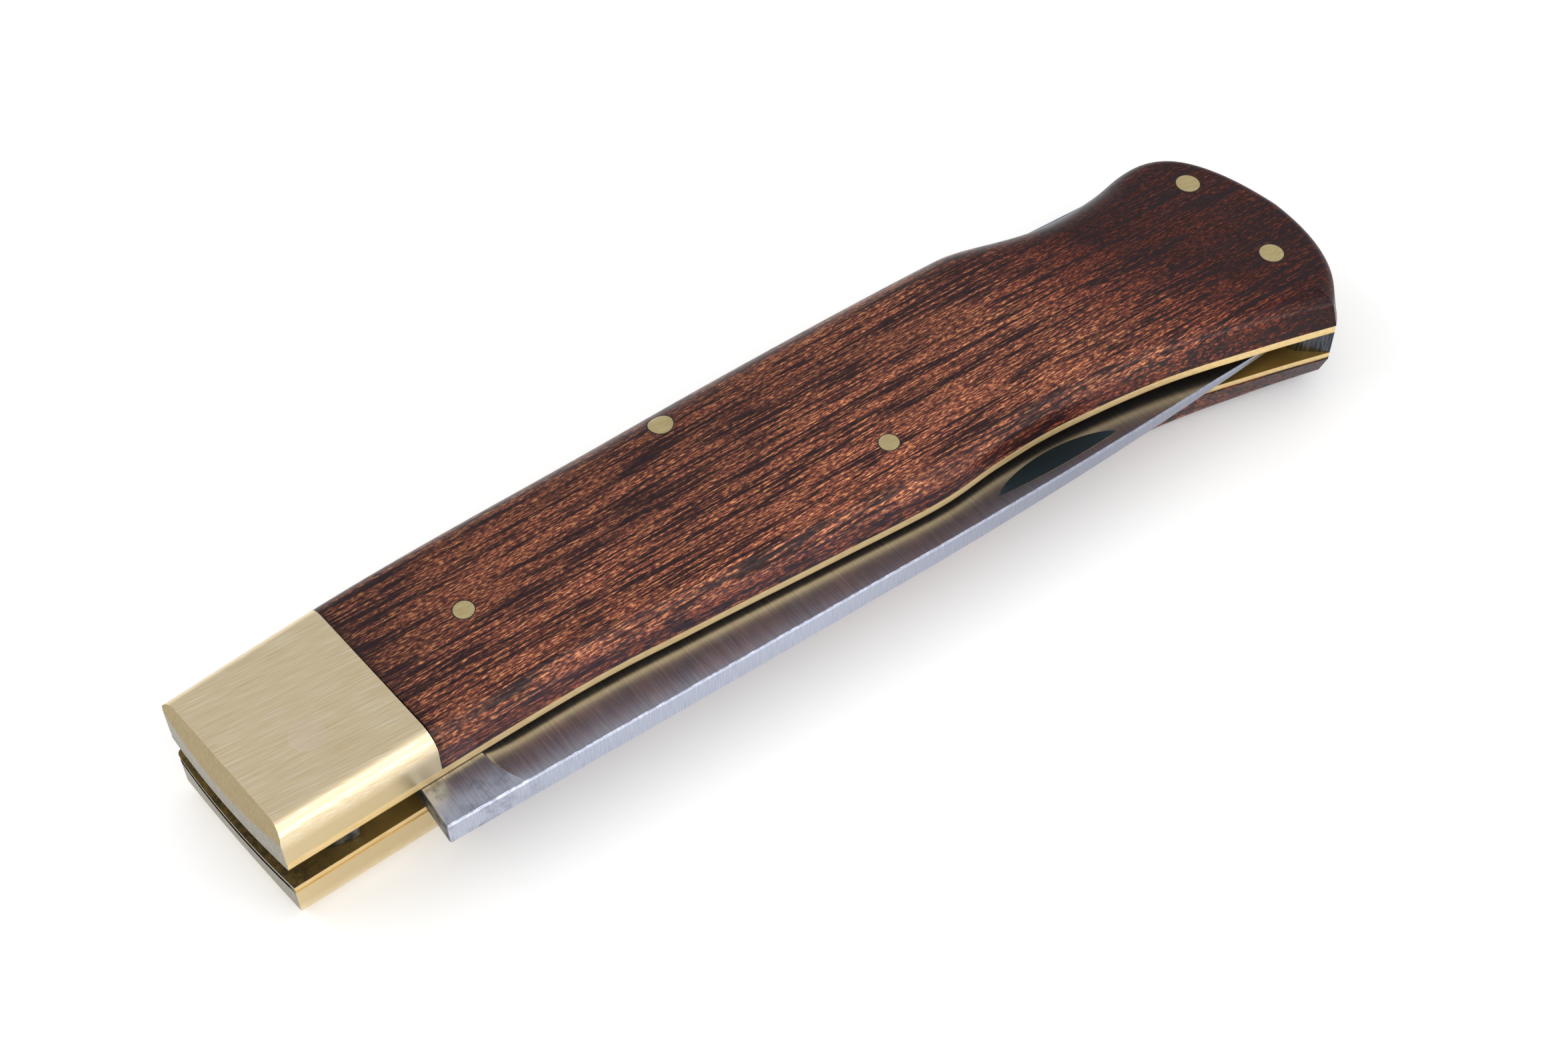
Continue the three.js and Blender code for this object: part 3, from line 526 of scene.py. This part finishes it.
# Pins: discs that stand a hair out of the surface they are dressed flush with. Each has its place,
# radius and side, which is 0 for a pin that goes through. The profile is shares of the radius and
# the crown, and the joint's is shares of its width and skin.
pins = {
    "places": {
        "pivot_pin": ((0.0, 0.0), 1.75, 0.0), "lock_bar_pin": ((47.0, 7.35), 1.3, 0.0),
        "butt_pin_rear": ((111.7, -2.85), 1.3, 0.0), "butt_pin_front": ((110.8, -15.75), 1.3, 0.0),
        "upper_front_rivet": ((18.9, 1.9), 1.05, 1.0),
        "upper_middle_rivet": ((62.4, -9.25), 1.05, 1.0),
        "lower_front_rivet": ((18.9, 1.9), 1.05, -1.0),
        "lower_middle_rivet": ((62.4, -9.25), 1.05, -1.0),
    },
    "crown": 0.012,
    "profile": ((1.0, 0.0), (1.0, 0.0), (0.97, 0.5), (0.9, 0.75), (0.6, 0.9), (0.3, 1.0)),
    "jointWidth": 0.17, "jointSkin": 0.003,
    "joint": ((-0.2, -3.0), (-0.2, 1.0), (0.5, 1.0), (1.0, -3.0)),
    "steps": 64,
}


# Height of the handle's surface, for a pin: flat, and a quarter circle near the back edge
def surfaceHalf(x, y):
    radius = roundAt(x, "back")
    inset = np.clip(radius - (backEdge(x) - y), 0, radius)
    flat = thinnedHalf(x)
    return flat - radius + np.sqrt(radius ** 2 - inset ** 2)


# Rings round a pin's place, each with its reach, that stand over the handle's surface by their lift
def pinRings(name, reach, lift):
    px, py = pins["places"][name][0]
    turn = np.linspace(0, 2 * math.pi, pins["steps"], endpoint=False)
    x = px + reach[:, None] * np.cos(turn)[None]
    y = py + reach[:, None] * np.sin(turn)[None]
    return np.stack([x, y, surfaceHalf(x, y) + lift[:, None]], axis=-1)


def makePin(name):
    radius, side = pins["places"][name][1:]
    shares, lift = np.array(pins["profile"]).T
    upper = pinRings(name, radius * shares, pins["crown"] * lift)
    upper[0, :, 2] = handle["slot"] if side else 0.0
    grid = upper * (1, 1, side) if side else np.concatenate([(upper * (1, 1, -1))[::-1], upper[1:]])
    piece = makePiece(name + "_head", *ringSolid(grid), "handle")
    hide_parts(name)
    return piece


# Ring of dirt in the joint round a pin, laid on the surface of the wood
def makePinJoint(name):
    radius, side = pins["places"][name][1:]
    shares, lift = np.array(pins["joint"]).T
    ring = pinRings(name, radius + pins["jointWidth"] * shares, pins["jointSkin"] * lift)
    rings = np.stack([ring * (1, 1, way) for way in ((side,) if side else (1, -1))])
    rows, columns = ring.shape[:2]
    faces = [face for start in range(0, rings[..., 0].size, rows * columns)
             for face in gridFaces(rows, columns, looped=True, start=start)]
    piece = makePiece(name + "_joint", toPart(rings).reshape(-1, 3), faces, "handle")
    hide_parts(name)
    return piece


# Materials
def hexColour(code):
    parts = [int(code[i:i + 2], 16) / 255 for i in (1, 3, 5)]
    return tuple(c / 12.92 if c <= 0.04045 else ((c + 0.055) / 1.055) ** 2.4 for c in parts) + (1.0,)


# Adds one node: settings go to its own properties, its unlinked inputs or the stops of its ramp,
# and links to its inputs, from a socket or from a node's first output
def addNode(tree, kind, settings=None, links=None):
    node = tree.nodes.new(kind)
    for key, value in (settings or {}).items():
        if key == "stops":
            ramp = node.color_ramp.elements
            for count, (place, colour) in enumerate(value):
                stop = ramp[count] if count < len(ramp) else ramp.new(place)
                stop.position, stop.color = place, hexColour(colour)
        elif isinstance(key, int) or key in node.inputs:
            node.inputs[key].default_value = value
        else:
            setattr(node, key, value)
    for key, source in (links or {}).items():
        socket = source.outputs[0] if isinstance(source, bpy.types.Node) else source
        tree.links.new(socket, node.inputs[key])
    return node


# Empty node tree of a new material or world
def emptyTree(owner):
    owner.use_nodes = True
    owner.node_tree.nodes.clear()
    return owner.node_tree


# Object coordinates in millimetres from the pivot, turned into a direction and stretched
def stretched(tree, scale, turnDeg):
    place = addNode(tree, "ShaderNodeTexCoord").outputs["Object"]
    centred = addNode(tree, "ShaderNodeMapping", {
        "Scale": (1000, 1000, 1000), "Location": tuple(-pivotPlace)}, {"Vector": place})
    turned = addNode(tree, "ShaderNodeMapping", {
        "Rotation": (0, 0, -math.radians(turnDeg))}, {"Vector": centred})
    return addNode(tree, "ShaderNodeMapping", {"Scale": scale}, {"Vector": turned})


# What masks read: noises by their stretch, detail, roughness and distortion, the marks at the
# mesh's points, and the millimetres along and across the piece and from its mid plane
def measuresOf(tree, look):
    measures = {}
    for label, (scale, detail, roughness, distortion) in look["noises"].items():
        measures[label] = addNode(tree, "ShaderNodeTexNoise", {
            "Scale": 1.0, "Detail": detail, "Roughness": roughness, "Distortion": distortion},
            {"Vector": stretched(tree, scale, look["turnDeg"])})
    for label in look.get("marks", ()):
        measures[label] = addNode(tree, "ShaderNodeAttribute", {"attribute_name": label}).outputs["Fac"]
    if "placeTurnDeg" in look:
        even = stretched(tree, (1, 1, 1), look["placeTurnDeg"])
        place = addNode(tree, "ShaderNodeSeparateXYZ", links={0: even})
        height = addNode(tree, "ShaderNodeMath", {"operation": "ABSOLUTE"}, {0: place.outputs["Z"]})
        measures.update(along=place.outputs["X"], across=place.outputs["Y"], height=height)
    return measures


# Product of factors. Each is a measure, taken from one stretch of values to another where the
# factor gives both.
def maskOf(tree, measures, factors):
    mask = None
    for label, *ends in factors:
        factor = measures[label]
        if ends:
            spans = dict(zip(("From Min", "From Max", "To Min", "To Max"), ends))
            factor = addNode(tree, "ShaderNodeMapRange", spans, {"Value": factor})
        if mask is not None:
            factor = addNode(tree, "ShaderNodeMath", {"operation": "MULTIPLY"}, {0: mask, 1: factor})
        mask = factor
    return mask


# Dense dyed hardwood, oiled and buffed: pale orange dashes of fibre about half a millimetre long
# in red-brown, with dark growth lines that run the length of the handle. The walls at the
# sides cut the rings and are redder, and the butt is a darker band of the wood.
woodLook = {
    "turnDeg": 1.0, "placeTurnDeg": handle["turnDeg"], "slant": 0.6, "crossingAt": 0.5,
    "noises": {
        "fibres": ((1.5, 7.5, 5.0), 2.0, 0.55, 0.3), "pores": ((0.7, 6.0, 2.4), 2.0, 0.55, 0.0),
        "lines": ((0.06, 2.0, 1.0), 2.0, 0.55, 0.2), "lineBreaks": ((0.1, 0.7, 0.7), 2.0, 0.55, 0.0),
        "broad": ((0.03, 0.16, 0.16), 3.0, 0.55, 0.0),
    },
    "figure": ((0.36, "#4C2727"), (0.48, "#753F33"), (0.57, "#B56A4A"), (0.68, "#EBA670")),
    # darker towards the butt, along a slanted border, in slow waves, near the joint and towards the
    # back edge, and darker on the walls, which is painted shade
    "tones": (
        ("slanted", 80.0, 96.0, 1.0, 0.18), ("broad", 0.35, 0.62, 0.84, 1.16),
        ("along", handle["joint"], handle["joint"] + 1.3, 0.4, 1.0),
        ("along", handle["joint"], handle["joint"] + 18, 0.75, 1.0),
        ("across", -7.0, 9.0, 1.0, 0.55), ("height", 5.6, 4.9, 1.0, 0.62),
    ),
    "poreDepth": (("pores", 0.60, 0.68, 0.0, 0.8),),
    # laid over in turn: a redder butt, growth lines broken here and there, pores and redder walls
    "layers": (
        ("MULTIPLY", "#FFC2C4", (("slanted", 80.0, 96.0, 0.0, 1.0),)),
        ("MIX", "#1F1016", (("crossing", 0.41, 0.465, 0.0, 1.0),
                            ("lineBreaks", 0.3, 0.5, 0.15, 0.95))),
        ("MIX", "#1F1016", (("poreDepth",),)),
        ("OVERLAY", "#A85A34", (("height", 5.6, 4.9, 0.0, 0.4),)),
    ),
    # roughness of the wood and of its pores, and the relief of both
    "rough": (0.28, 0.6), "bump": 0.5, "bumpDepth": 0.03, "ior": 1.5, "specular": 0.22,
}


def hardwood():
    material = bpy.data.materials.new("dyedHardwoodOiled")
    tree = emptyTree(material)
    measures = measuresOf(tree, woodLook)
    measures["slanted"] = addNode(tree, "ShaderNodeMath", {
        "operation": "MULTIPLY_ADD", 1: woodLook["slant"]},
        {0: measures["across"], 2: measures["along"]})
    # growth lines are the places where a long thin noise crosses its middle value
    measures["crossing"] = addNode(tree, "ShaderNodeMath", {
        "operation": "PINGPONG", 1: woodLook["crossingAt"]}, {0: measures["lines"]})
    measures["poreDepth"] = maskOf(tree, measures, woodLook["poreDepth"])
    figure = addNode(tree, "ShaderNodeValToRGB", {"stops": woodLook["figure"]},
                     {"Fac": measures["fibres"]})
    colour = addNode(tree, "ShaderNodeMix", {"data_type": "RGBA", "blend_type": "MULTIPLY", 0: 1.0},
                     {6: figure, 7: maskOf(tree, measures, woodLook["tones"])}).outputs[2]
    for blending, tint, factors in woodLook["layers"]:
        colour = addNode(tree, "ShaderNodeMix", {
            "data_type": "RGBA", "blend_type": blending, 7: hexColour(tint)},
            {0: maskOf(tree, measures, factors), 6: colour}).outputs[2]
    rough = maskOf(tree, measures, (("poreDepth", 0.0, 1.0, *woodLook["rough"]),))
    height = addNode(tree, "ShaderNodeMath", {"operation": "SUBTRACT"},
                     {0: measures["fibres"], 1: measures["poreDepth"]})
    bump = addNode(tree, "ShaderNodeBump", {
        "Strength": woodLook["bump"], "Distance": woodLook["bumpDepth"] / 1000.0}, {"Height": height})
    shader = addNode(tree, "ShaderNodeBsdfPrincipled", {
        "IOR": woodLook["ior"], "Specular IOR Level": woodLook["specular"]},
        {"Base Color": colour, "Roughness": rough, "Normal": bump})
    addNode(tree, "ShaderNodeOutputMaterial", links={0: shader})
    return material


# Metals. The lines, which run the way that turnDeg says, are drawn by a noise of that stretch, and
# bump is their relief. A stain, real or painted shade, is a colour, a roughness and the factors of
# its mask, and lies over the stains before it.
metals = {
    # carbon steel, ground across its length on a wheel and left satin: cool, with fine cross lines
    "bladeSteelCrossGround": {
        "dark": "#A8AEC0", "light": "#CACFDE", "rough": 0.3, "lines": (7.0, 0.25, 0.25), "bump": 0.5,
        "turnDeg": 0.0, "placeTurnDeg": 0.0, "marks": ("unground", "corner", "nickFloor"),
        "noises": {"spots": ((0.55, 0.55, 0.55), 4.0, 0.6, 0.0),
                   "scuffs": ((1.6, 5.0, 5.0), 3.0, 0.5, 0.0)},
        "stains": (
            # the ricasso is mottled with light tarnish
            ("#5B6270", 0.4, (("spots", 0.5, 0.72, 0.0, 0.6), ("unground",))),
            # painted shade: greyer towards the tip, where the blade lies deeper in the handle
            ("#6C6F7C", 0.3, (("along", 48.0, 78.0, 0.0, 0.5),)),
            # the corner along the spine is scratched bright, and dull in between
            ("#7E808E", 0.35, (("scuffs", 0.44, 0.54, 0.0, 0.85), ("corner",))),
            # painted shade: the floor of the nail nick, a recess, is dark
            ("#333F45", 0.35, (("nickFloor",),)),
        ),
    },
    # the tang's sawn end, oxidised dark in patches
    "tangSteelOxidised": {
        "dark": "#6E7682", "light": "#8E949E", "rough": 0.42, "lines": (3.0, 3.0, 0.6), "bump": 0.4,
        "turnDeg": 0.0, "noises": {"spots": ((1.1, 1.1, 1.1), 4.0, 0.6, 0.0)},
        "stains": (("#353C44", 0.5, (("spots", 0.4, 0.6, 0.0, 0.9),)),),
    },
    # rolled brass, matt and rubbed bright along its edges
    "linerBrassRolled": {
        "dark": "#DCBE84", "light": "#F0D9A8", "rough": 0.58, "lines": (0.5, 5.0, 5.0), "bump": 0.25,
        "turnDeg": handle["turnDeg"], "placeTurnDeg": handle["turnDeg"],
        "noises": {"specks": ((1.6, 1.6, 1.6), 4.0, 0.7, 0.0)},
        "stains": (
            # the inner faces are a deeper gold, and painted shade with specks of dirt darkens them near
            # the front end, where the gap between the liners is in shadow
            ("#C4A159", 0.5, (("height", handle["slot"] + 0.09, handle["slot"] + 0.03, 0.0, 1.0),)),
            ("#453E2E", 0.6, (("along", -6.9, 5.0, 0.92, 0.0), ("specks", 0.34, 0.6, 0.6, 1.0),
                              ("height", handle["slot"] + 0.09, handle["slot"] + 0.03, 0.0, 1.0))),
        ),
    },
    # satin brass, brushed along its length: soft bands of light
    "bolsterBrassBrushed": {
        "dark": "#DDC79D", "light": "#F1E1C0", "rough": 0.36, "lines": (0.22, 7.0, 7.0), "bump": 0.3,
        "turnDeg": -3.0, "placeTurnDeg": handle["turnDeg"],
        "noises": {"scratches": ((0.22, 10.0, 10.0), 1.0, 0.5, 0.0)},
        "stains": (
            # a few brighter scratches, and on the walls a deeper gold that is painted shade
            ("#FFFBF0", 0.28, (("scratches", 0.56, 0.74, 0.0, 0.5),)),
            ("#D3BF95", 0.38, (("height", 6.0, 4.6, 0.0, 1.0),)),
        ),
    },
    # the filed facet at the bolster's front end: duller, and darker with painted shade, as it mirrors
    # the shadowed floor by the front end
    "bevelBrassFiled": {
        "dark": "#99875F", "light": "#B09E78", "rough": 0.44, "lines": (5.0, 5.0, 0.6), "bump": 0.4,
        "turnDeg": handle["turnDeg"],
    },
    # the wall under the facet: grey with painted shade, as it mirrors the shadowed floor beside it
    "endBrassHandled": {
        "dark": "#8C877B", "light": "#AAA599", "rough": 0.5, "lines": (4.0, 4.0, 1.2), "bump": 0.4,
        "turnDeg": handle["turnDeg"],
    },
    # the pivot's head, dressed with the bolster: a shade paler, so that it hardly shows
    "pivotBrassDressed": {
        "dark": "#E0CAA8", "light": "#F2E2CA", "rough": 0.38, "lines": (0.22, 7.0, 7.0), "bump": 0.3,
        "turnDeg": -3.0,
    },
    # pins dressed flush with the wood: pale dull gold
    "pinBrassDressed": {
        "dark": "#C2AE7C", "light": "#DCCB9C", "rough": 0.4, "lines": (0.8, 7.0, 7.0), "bump": 0.3,
        "turnDeg": 0.0,
    },
    # spring steel, ground along its length: grey and even
    "springSteelGround": {
        "dark": "#8E95A6", "light": "#B2B7C4", "rough": 0.34, "lines": (0.4, 6.0, 6.0), "bump": 0.25,
        "turnDeg": handle["turnDeg"],
    },
    # the spacer's end, taken down across it on a coarse belt: dark steel with bright lines
    "spacerSteelBelted": {
        "dark": "#1C1E24", "light": "#63676F", "rough": 0.36, "lines": (5.0, 5.0, 0.5), "bump": 0.5,
        "turnDeg": handle["turnDeg"],
    },
}
# What all their lines share: the noise's detail, roughness and distortion, the values that are dark
# and light, how far the roughness goes to both sides, and the depth of the relief
lineLook = {
    "noise": (4.0, 0.65, 0.0), "darkTo": 0.3, "lightFrom": 0.7, "smoother": 0.06, "rougher": 0.08,
    "depth": 0.01,
}


# Metal drawn over a belt: fine lines one way in colour, roughness and bump, then its stains and painted
# shade
def makeMetal(name):
    look = metals[name]
    material = bpy.data.materials.new(name)
    tree = emptyTree(material)
    look = {**look, "noises": {"lines": (look["lines"], *lineLook["noise"]), **look.get("noises", {})}}
    measures = measuresOf(tree, look)
    colour = addNode(tree, "ShaderNodeValToRGB", {
        "stops": ((lineLook["darkTo"], look["dark"]), (lineLook["lightFrom"], look["light"]))},
        {"Fac": measures["lines"]})
    rough = addNode(tree, "ShaderNodeMapRange", {
        "To Min": look["rough"] - lineLook["smoother"], "To Max": look["rough"] + lineLook["rougher"]},
        {"Value": measures["lines"]})
    bump = addNode(tree, "ShaderNodeBump", {
        "Strength": look["bump"], "Distance": lineLook["depth"] / 1000.0},
        {"Height": measures["lines"]})
    for tint, roughness, factors in look.get("stains", ()):
        mask = maskOf(tree, measures, factors)
        colour = addNode(tree, "ShaderNodeMix", {"data_type": "RGBA", 7: hexColour(tint)},
                         {0: mask, 6: colour}).outputs[2]
        rough = addNode(tree, "ShaderNodeMix", {"data_type": "FLOAT", 3: roughness},
                        {0: mask, 2: rough})
    shader = addNode(tree, "ShaderNodeBsdfPrincipled", {"Metallic": 1.0},
                     {"Base Color": colour, "Roughness": rough, "Normal": bump})
    addNode(tree, "ShaderNodeOutputMaterial", links={0: shader})
    return material


# Oil and dust in the joint round a pin: near black, and matt
dirtLook = {
    "stops": ((0.35, "#140B0C"), (0.65, "#2A1616")), "grain": (3, 3, 3), "detail": 3.0, "rough": 0.7,
}


def jointDirt():
    material = bpy.data.materials.new("jointDirtDark")
    tree = emptyTree(material)
    grime = addNode(tree, "ShaderNodeTexNoise", {"Scale": 1.0, "Detail": dirtLook["detail"]},
                    {"Vector": stretched(tree, dirtLook["grain"], handle["turnDeg"])})
    colour = addNode(tree, "ShaderNodeValToRGB", {"stops": dirtLook["stops"]}, {"Fac": grime})
    shader = addNode(tree, "ShaderNodeBsdfPrincipled", {"Roughness": dirtLook["rough"]},
                     {"Base Color": colour})
    addNode(tree, "ShaderNodeOutputMaterial", links={0: shader})
    return material


wood = hardwood()
metal = {name: makeMetal(name) for name in metals}
jointDark = jointDirt()
print("materials made")


def dress(piece, *materials):
    piece.data.materials.clear()
    for material in materials:
        piece.data.materials.append(material)


# Which faces take another material: those that look forward, in front of frontEnd or not far behind
# the shoulder, among them those that slant, and the tang's that stand upright
facing = {"forward": -0.9, "frontEnd": -6.5, "slanted": 0.13, "upright": 0.5, "behindShoulder": 0.2}

for side, label in ((1, "upper"), (-1, "lower")):
    dress(makeScale(label + "_scale", side), wood)
    bolster, liner = makeBolster(label + "_bolster", side), makeLiner(label + "_liner", side)
    dress(bolster, metal["bolsterBrassBrushed"], metal["endBrassHandled"], metal["bevelBrassFiled"])
    dress(liner, metal["linerBrassRolled"], metal["endBrassHandled"])
    # what looks forward takes the wall's grey painted shade, or the facet's darker painted shade where
    # it slants
    for piece in (bolster, liner):
        for face in piece.data.polygons:
            x = face.center.x * 1000 - pivotPlace[0]
            if face.normal.x < facing["forward"] and x < facing["frontEnd"]:
                slanted = piece is bolster and abs(face.normal.z) > facing["slanted"]
                face.material_index = 2 if slanted else 1
print("handle made")

groundPlaces, groundFaces, groundMarks = makeBlade()
groundPart = makePiece("blade_ground", groundPlaces, groundFaces, "blade", blade["sharpDeg"],
                       marks=groundMarks)
tangPart = makePiece("blade_tang", *makeTang(), "blade")
for piece in (groundPart, tangPart):
    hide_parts("blade")
    dress(piece, metal["bladeSteelCrossGround"], metal["tangSteelOxidised"])
    # the faces that look forward, and the tang's sawn end, take the second material
    for face in piece.data.polygons:
        x = face.center.x * 1000 - pivotPlace[0]
        sawn = piece is tangPart and abs(face.normal.z) < facing["upright"]
        front = x < blade["shoulderX"] + facing["behindShoulder"]
        if front and (sawn or face.normal.x < facing["forward"]):
            face.material_index = 1
print("blade made")

for pinName in pins["places"]:
    if pinName == "pivot_pin":
        dress(makePin(pinName), metal["pivotBrassDressed"])
    else:
        dress(makePin(pinName), metal["pinBrassDressed"])
        dress(makePinJoint(pinName), jointDark)
print("pins made")

# CAD nodes that stay: bar, spring, spacer and the blind rivets
for nodeName, node in nodes.items():
    if nodeName in ("lock_bar", "lock_spring"):
        dress(node, metal["springSteelGround"])
    elif nodeName == "butt_spacer":
        dress(node, metal["spacerSteelBelted"])
    elif "bolster_rivet" in nodeName:
        dress(node, metal["pinBrassDressed"])

# Floor, light and camera. The white surroundings turn greyer towards the ceiling and the back,
# as over a table in a studio whose window is behind the camera.
studio = {
    "lens": 58.162, "sensor": 36.0, "cameraFromPivot": (-34.555, -126.664, 199.807),
    "right": (0.821721, -0.569873, -0.004492), "up": (0.454085, 0.649959, 0.609393),
    "floorHalf": 3000.0, "paper": "#F2F2F2", "paperLift": 0.2,
    # the sky's white by its height, tilted to the back: from, to, and how white at each
    "worldLight": 0.84, "skyTilt": 0.9, "sky": (0.45, 1.0, 1.08, 0.6), "clipStart": 10.0,
    # lamps by place, size and watts; each looks at the part's origin
    "lamps": {
        "backSoftbox": ((-450, 320, 500), (500, 400), 1.1),
        "frontSoftbox": ((100, -570, 250), (500, 120), 0.6),
        "overheadStrip": ((90, -330, 520), (350, 60), 0.3),
    },
}

far = studio["floorHalf"] / 1000.0
floorMesh = bpy.data.meshes.new("floor")
corners = [(-far, -far, 0), (far, -far, 0), (far, far, 0), (-far, far, 0)]
floorMesh.from_pydata(corners, [], [(0, 1, 2, 3)])
floor = bpy.data.objects.new("floor", floorMesh)
bpy.context.collection.objects.link(floor)


# 1 for the rays that show the background itself: camera, glossy and transmission
def seenRays(tree):
    paths = addNode(tree, "ShaderNodeLightPath")
    seen = addNode(tree, "ShaderNodeMath", {"operation": "MAXIMUM"},
                   {0: paths.outputs["Is Camera Ray"], 1: paths.outputs["Is Glossy Ray"]})
    return addNode(tree, "ShaderNodeMath", {"operation": "MAXIMUM"},
                   {0: seen, 1: paths.outputs["Is Transmission Ray"]})


paperMaterial = bpy.data.materials.new("paperSweep")
tree = emptyTree(paperMaterial)
lift = addNode(tree, "ShaderNodeMath", {"operation": "MULTIPLY", 1: studio["paperLift"]},
               {0: seenRays(tree)})
paper = addNode(tree, "ShaderNodeBsdfDiffuse", {"Color": hexColour(studio["paper"])})
glow = addNode(tree, "ShaderNodeEmission", {"Color": (1, 1, 1, 1)}, {"Strength": lift})
lit = addNode(tree, "ShaderNodeAddShader", links={0: paper, 1: glow})
addNode(tree, "ShaderNodeOutputMaterial", links={0: lit})
dress(floor, paperMaterial)

world = bpy.data.worlds.new("studio")
bpy.context.scene.world = world
tree = emptyTree(world)
around = addNode(tree, "ShaderNodeTexCoord").outputs["Generated"]
direction = addNode(tree, "ShaderNodeSeparateXYZ", links={0: around})
tilted = addNode(tree, "ShaderNodeMath", {"operation": "MULTIPLY_ADD", 1: studio["skyTilt"]},
                 {0: direction.outputs["Y"], 2: direction.outputs["Z"]})
shown = maskOf(tree, {"tilted": tilted}, (("tilted", *studio["sky"]),))
level = addNode(tree, "ShaderNodeMix", {"data_type": "FLOAT", 2: studio["worldLight"]},
                {0: seenRays(tree), 3: shown})
sky = addNode(tree, "ShaderNodeBackground", {"Color": (1, 1, 1, 1)}, {"Strength": level})
addNode(tree, "ShaderNodeOutputWorld", links={0: sky})

for name, (place, size, power) in studio["lamps"].items():
    lamp = bpy.data.lights.new(name, "AREA")
    lamp.shape = "RECTANGLE"
    lamp.size, lamp.size_y = (side / 1000.0 for side in size)
    lamp.energy = power
    lampObject = bpy.data.objects.new(name, lamp)
    bpy.context.collection.objects.link(lampObject)
    lampObject.location = [distance / 1000.0 for distance in place]
    lampObject.rotation_euler = (-lampObject.location).to_track_quat("-Z", "Y").to_euler()

cameraData = bpy.data.cameras.new("camera")
cameraData.lens = studio["lens"]
cameraData.sensor_width = studio["sensor"]
cameraData.clip_start = studio["clipStart"] / 1000.0
camera = bpy.data.objects.new("camera", cameraData)
bpy.context.collection.objects.link(camera)
right, up = Vector(studio["right"]), Vector(studio["up"])
turned = Matrix((right, up, right.cross(up))).transposed().to_4x4()
place = (pivotPlace + np.array(studio["cameraFromPivot"])) / 1000.0
camera.matrix_world = Matrix.Translation(Vector(place.tolist())) @ turned
bpy.context.scene.camera = camera
bpy.context.scene.view_settings.view_transform = "Standard"
print("studio ready")
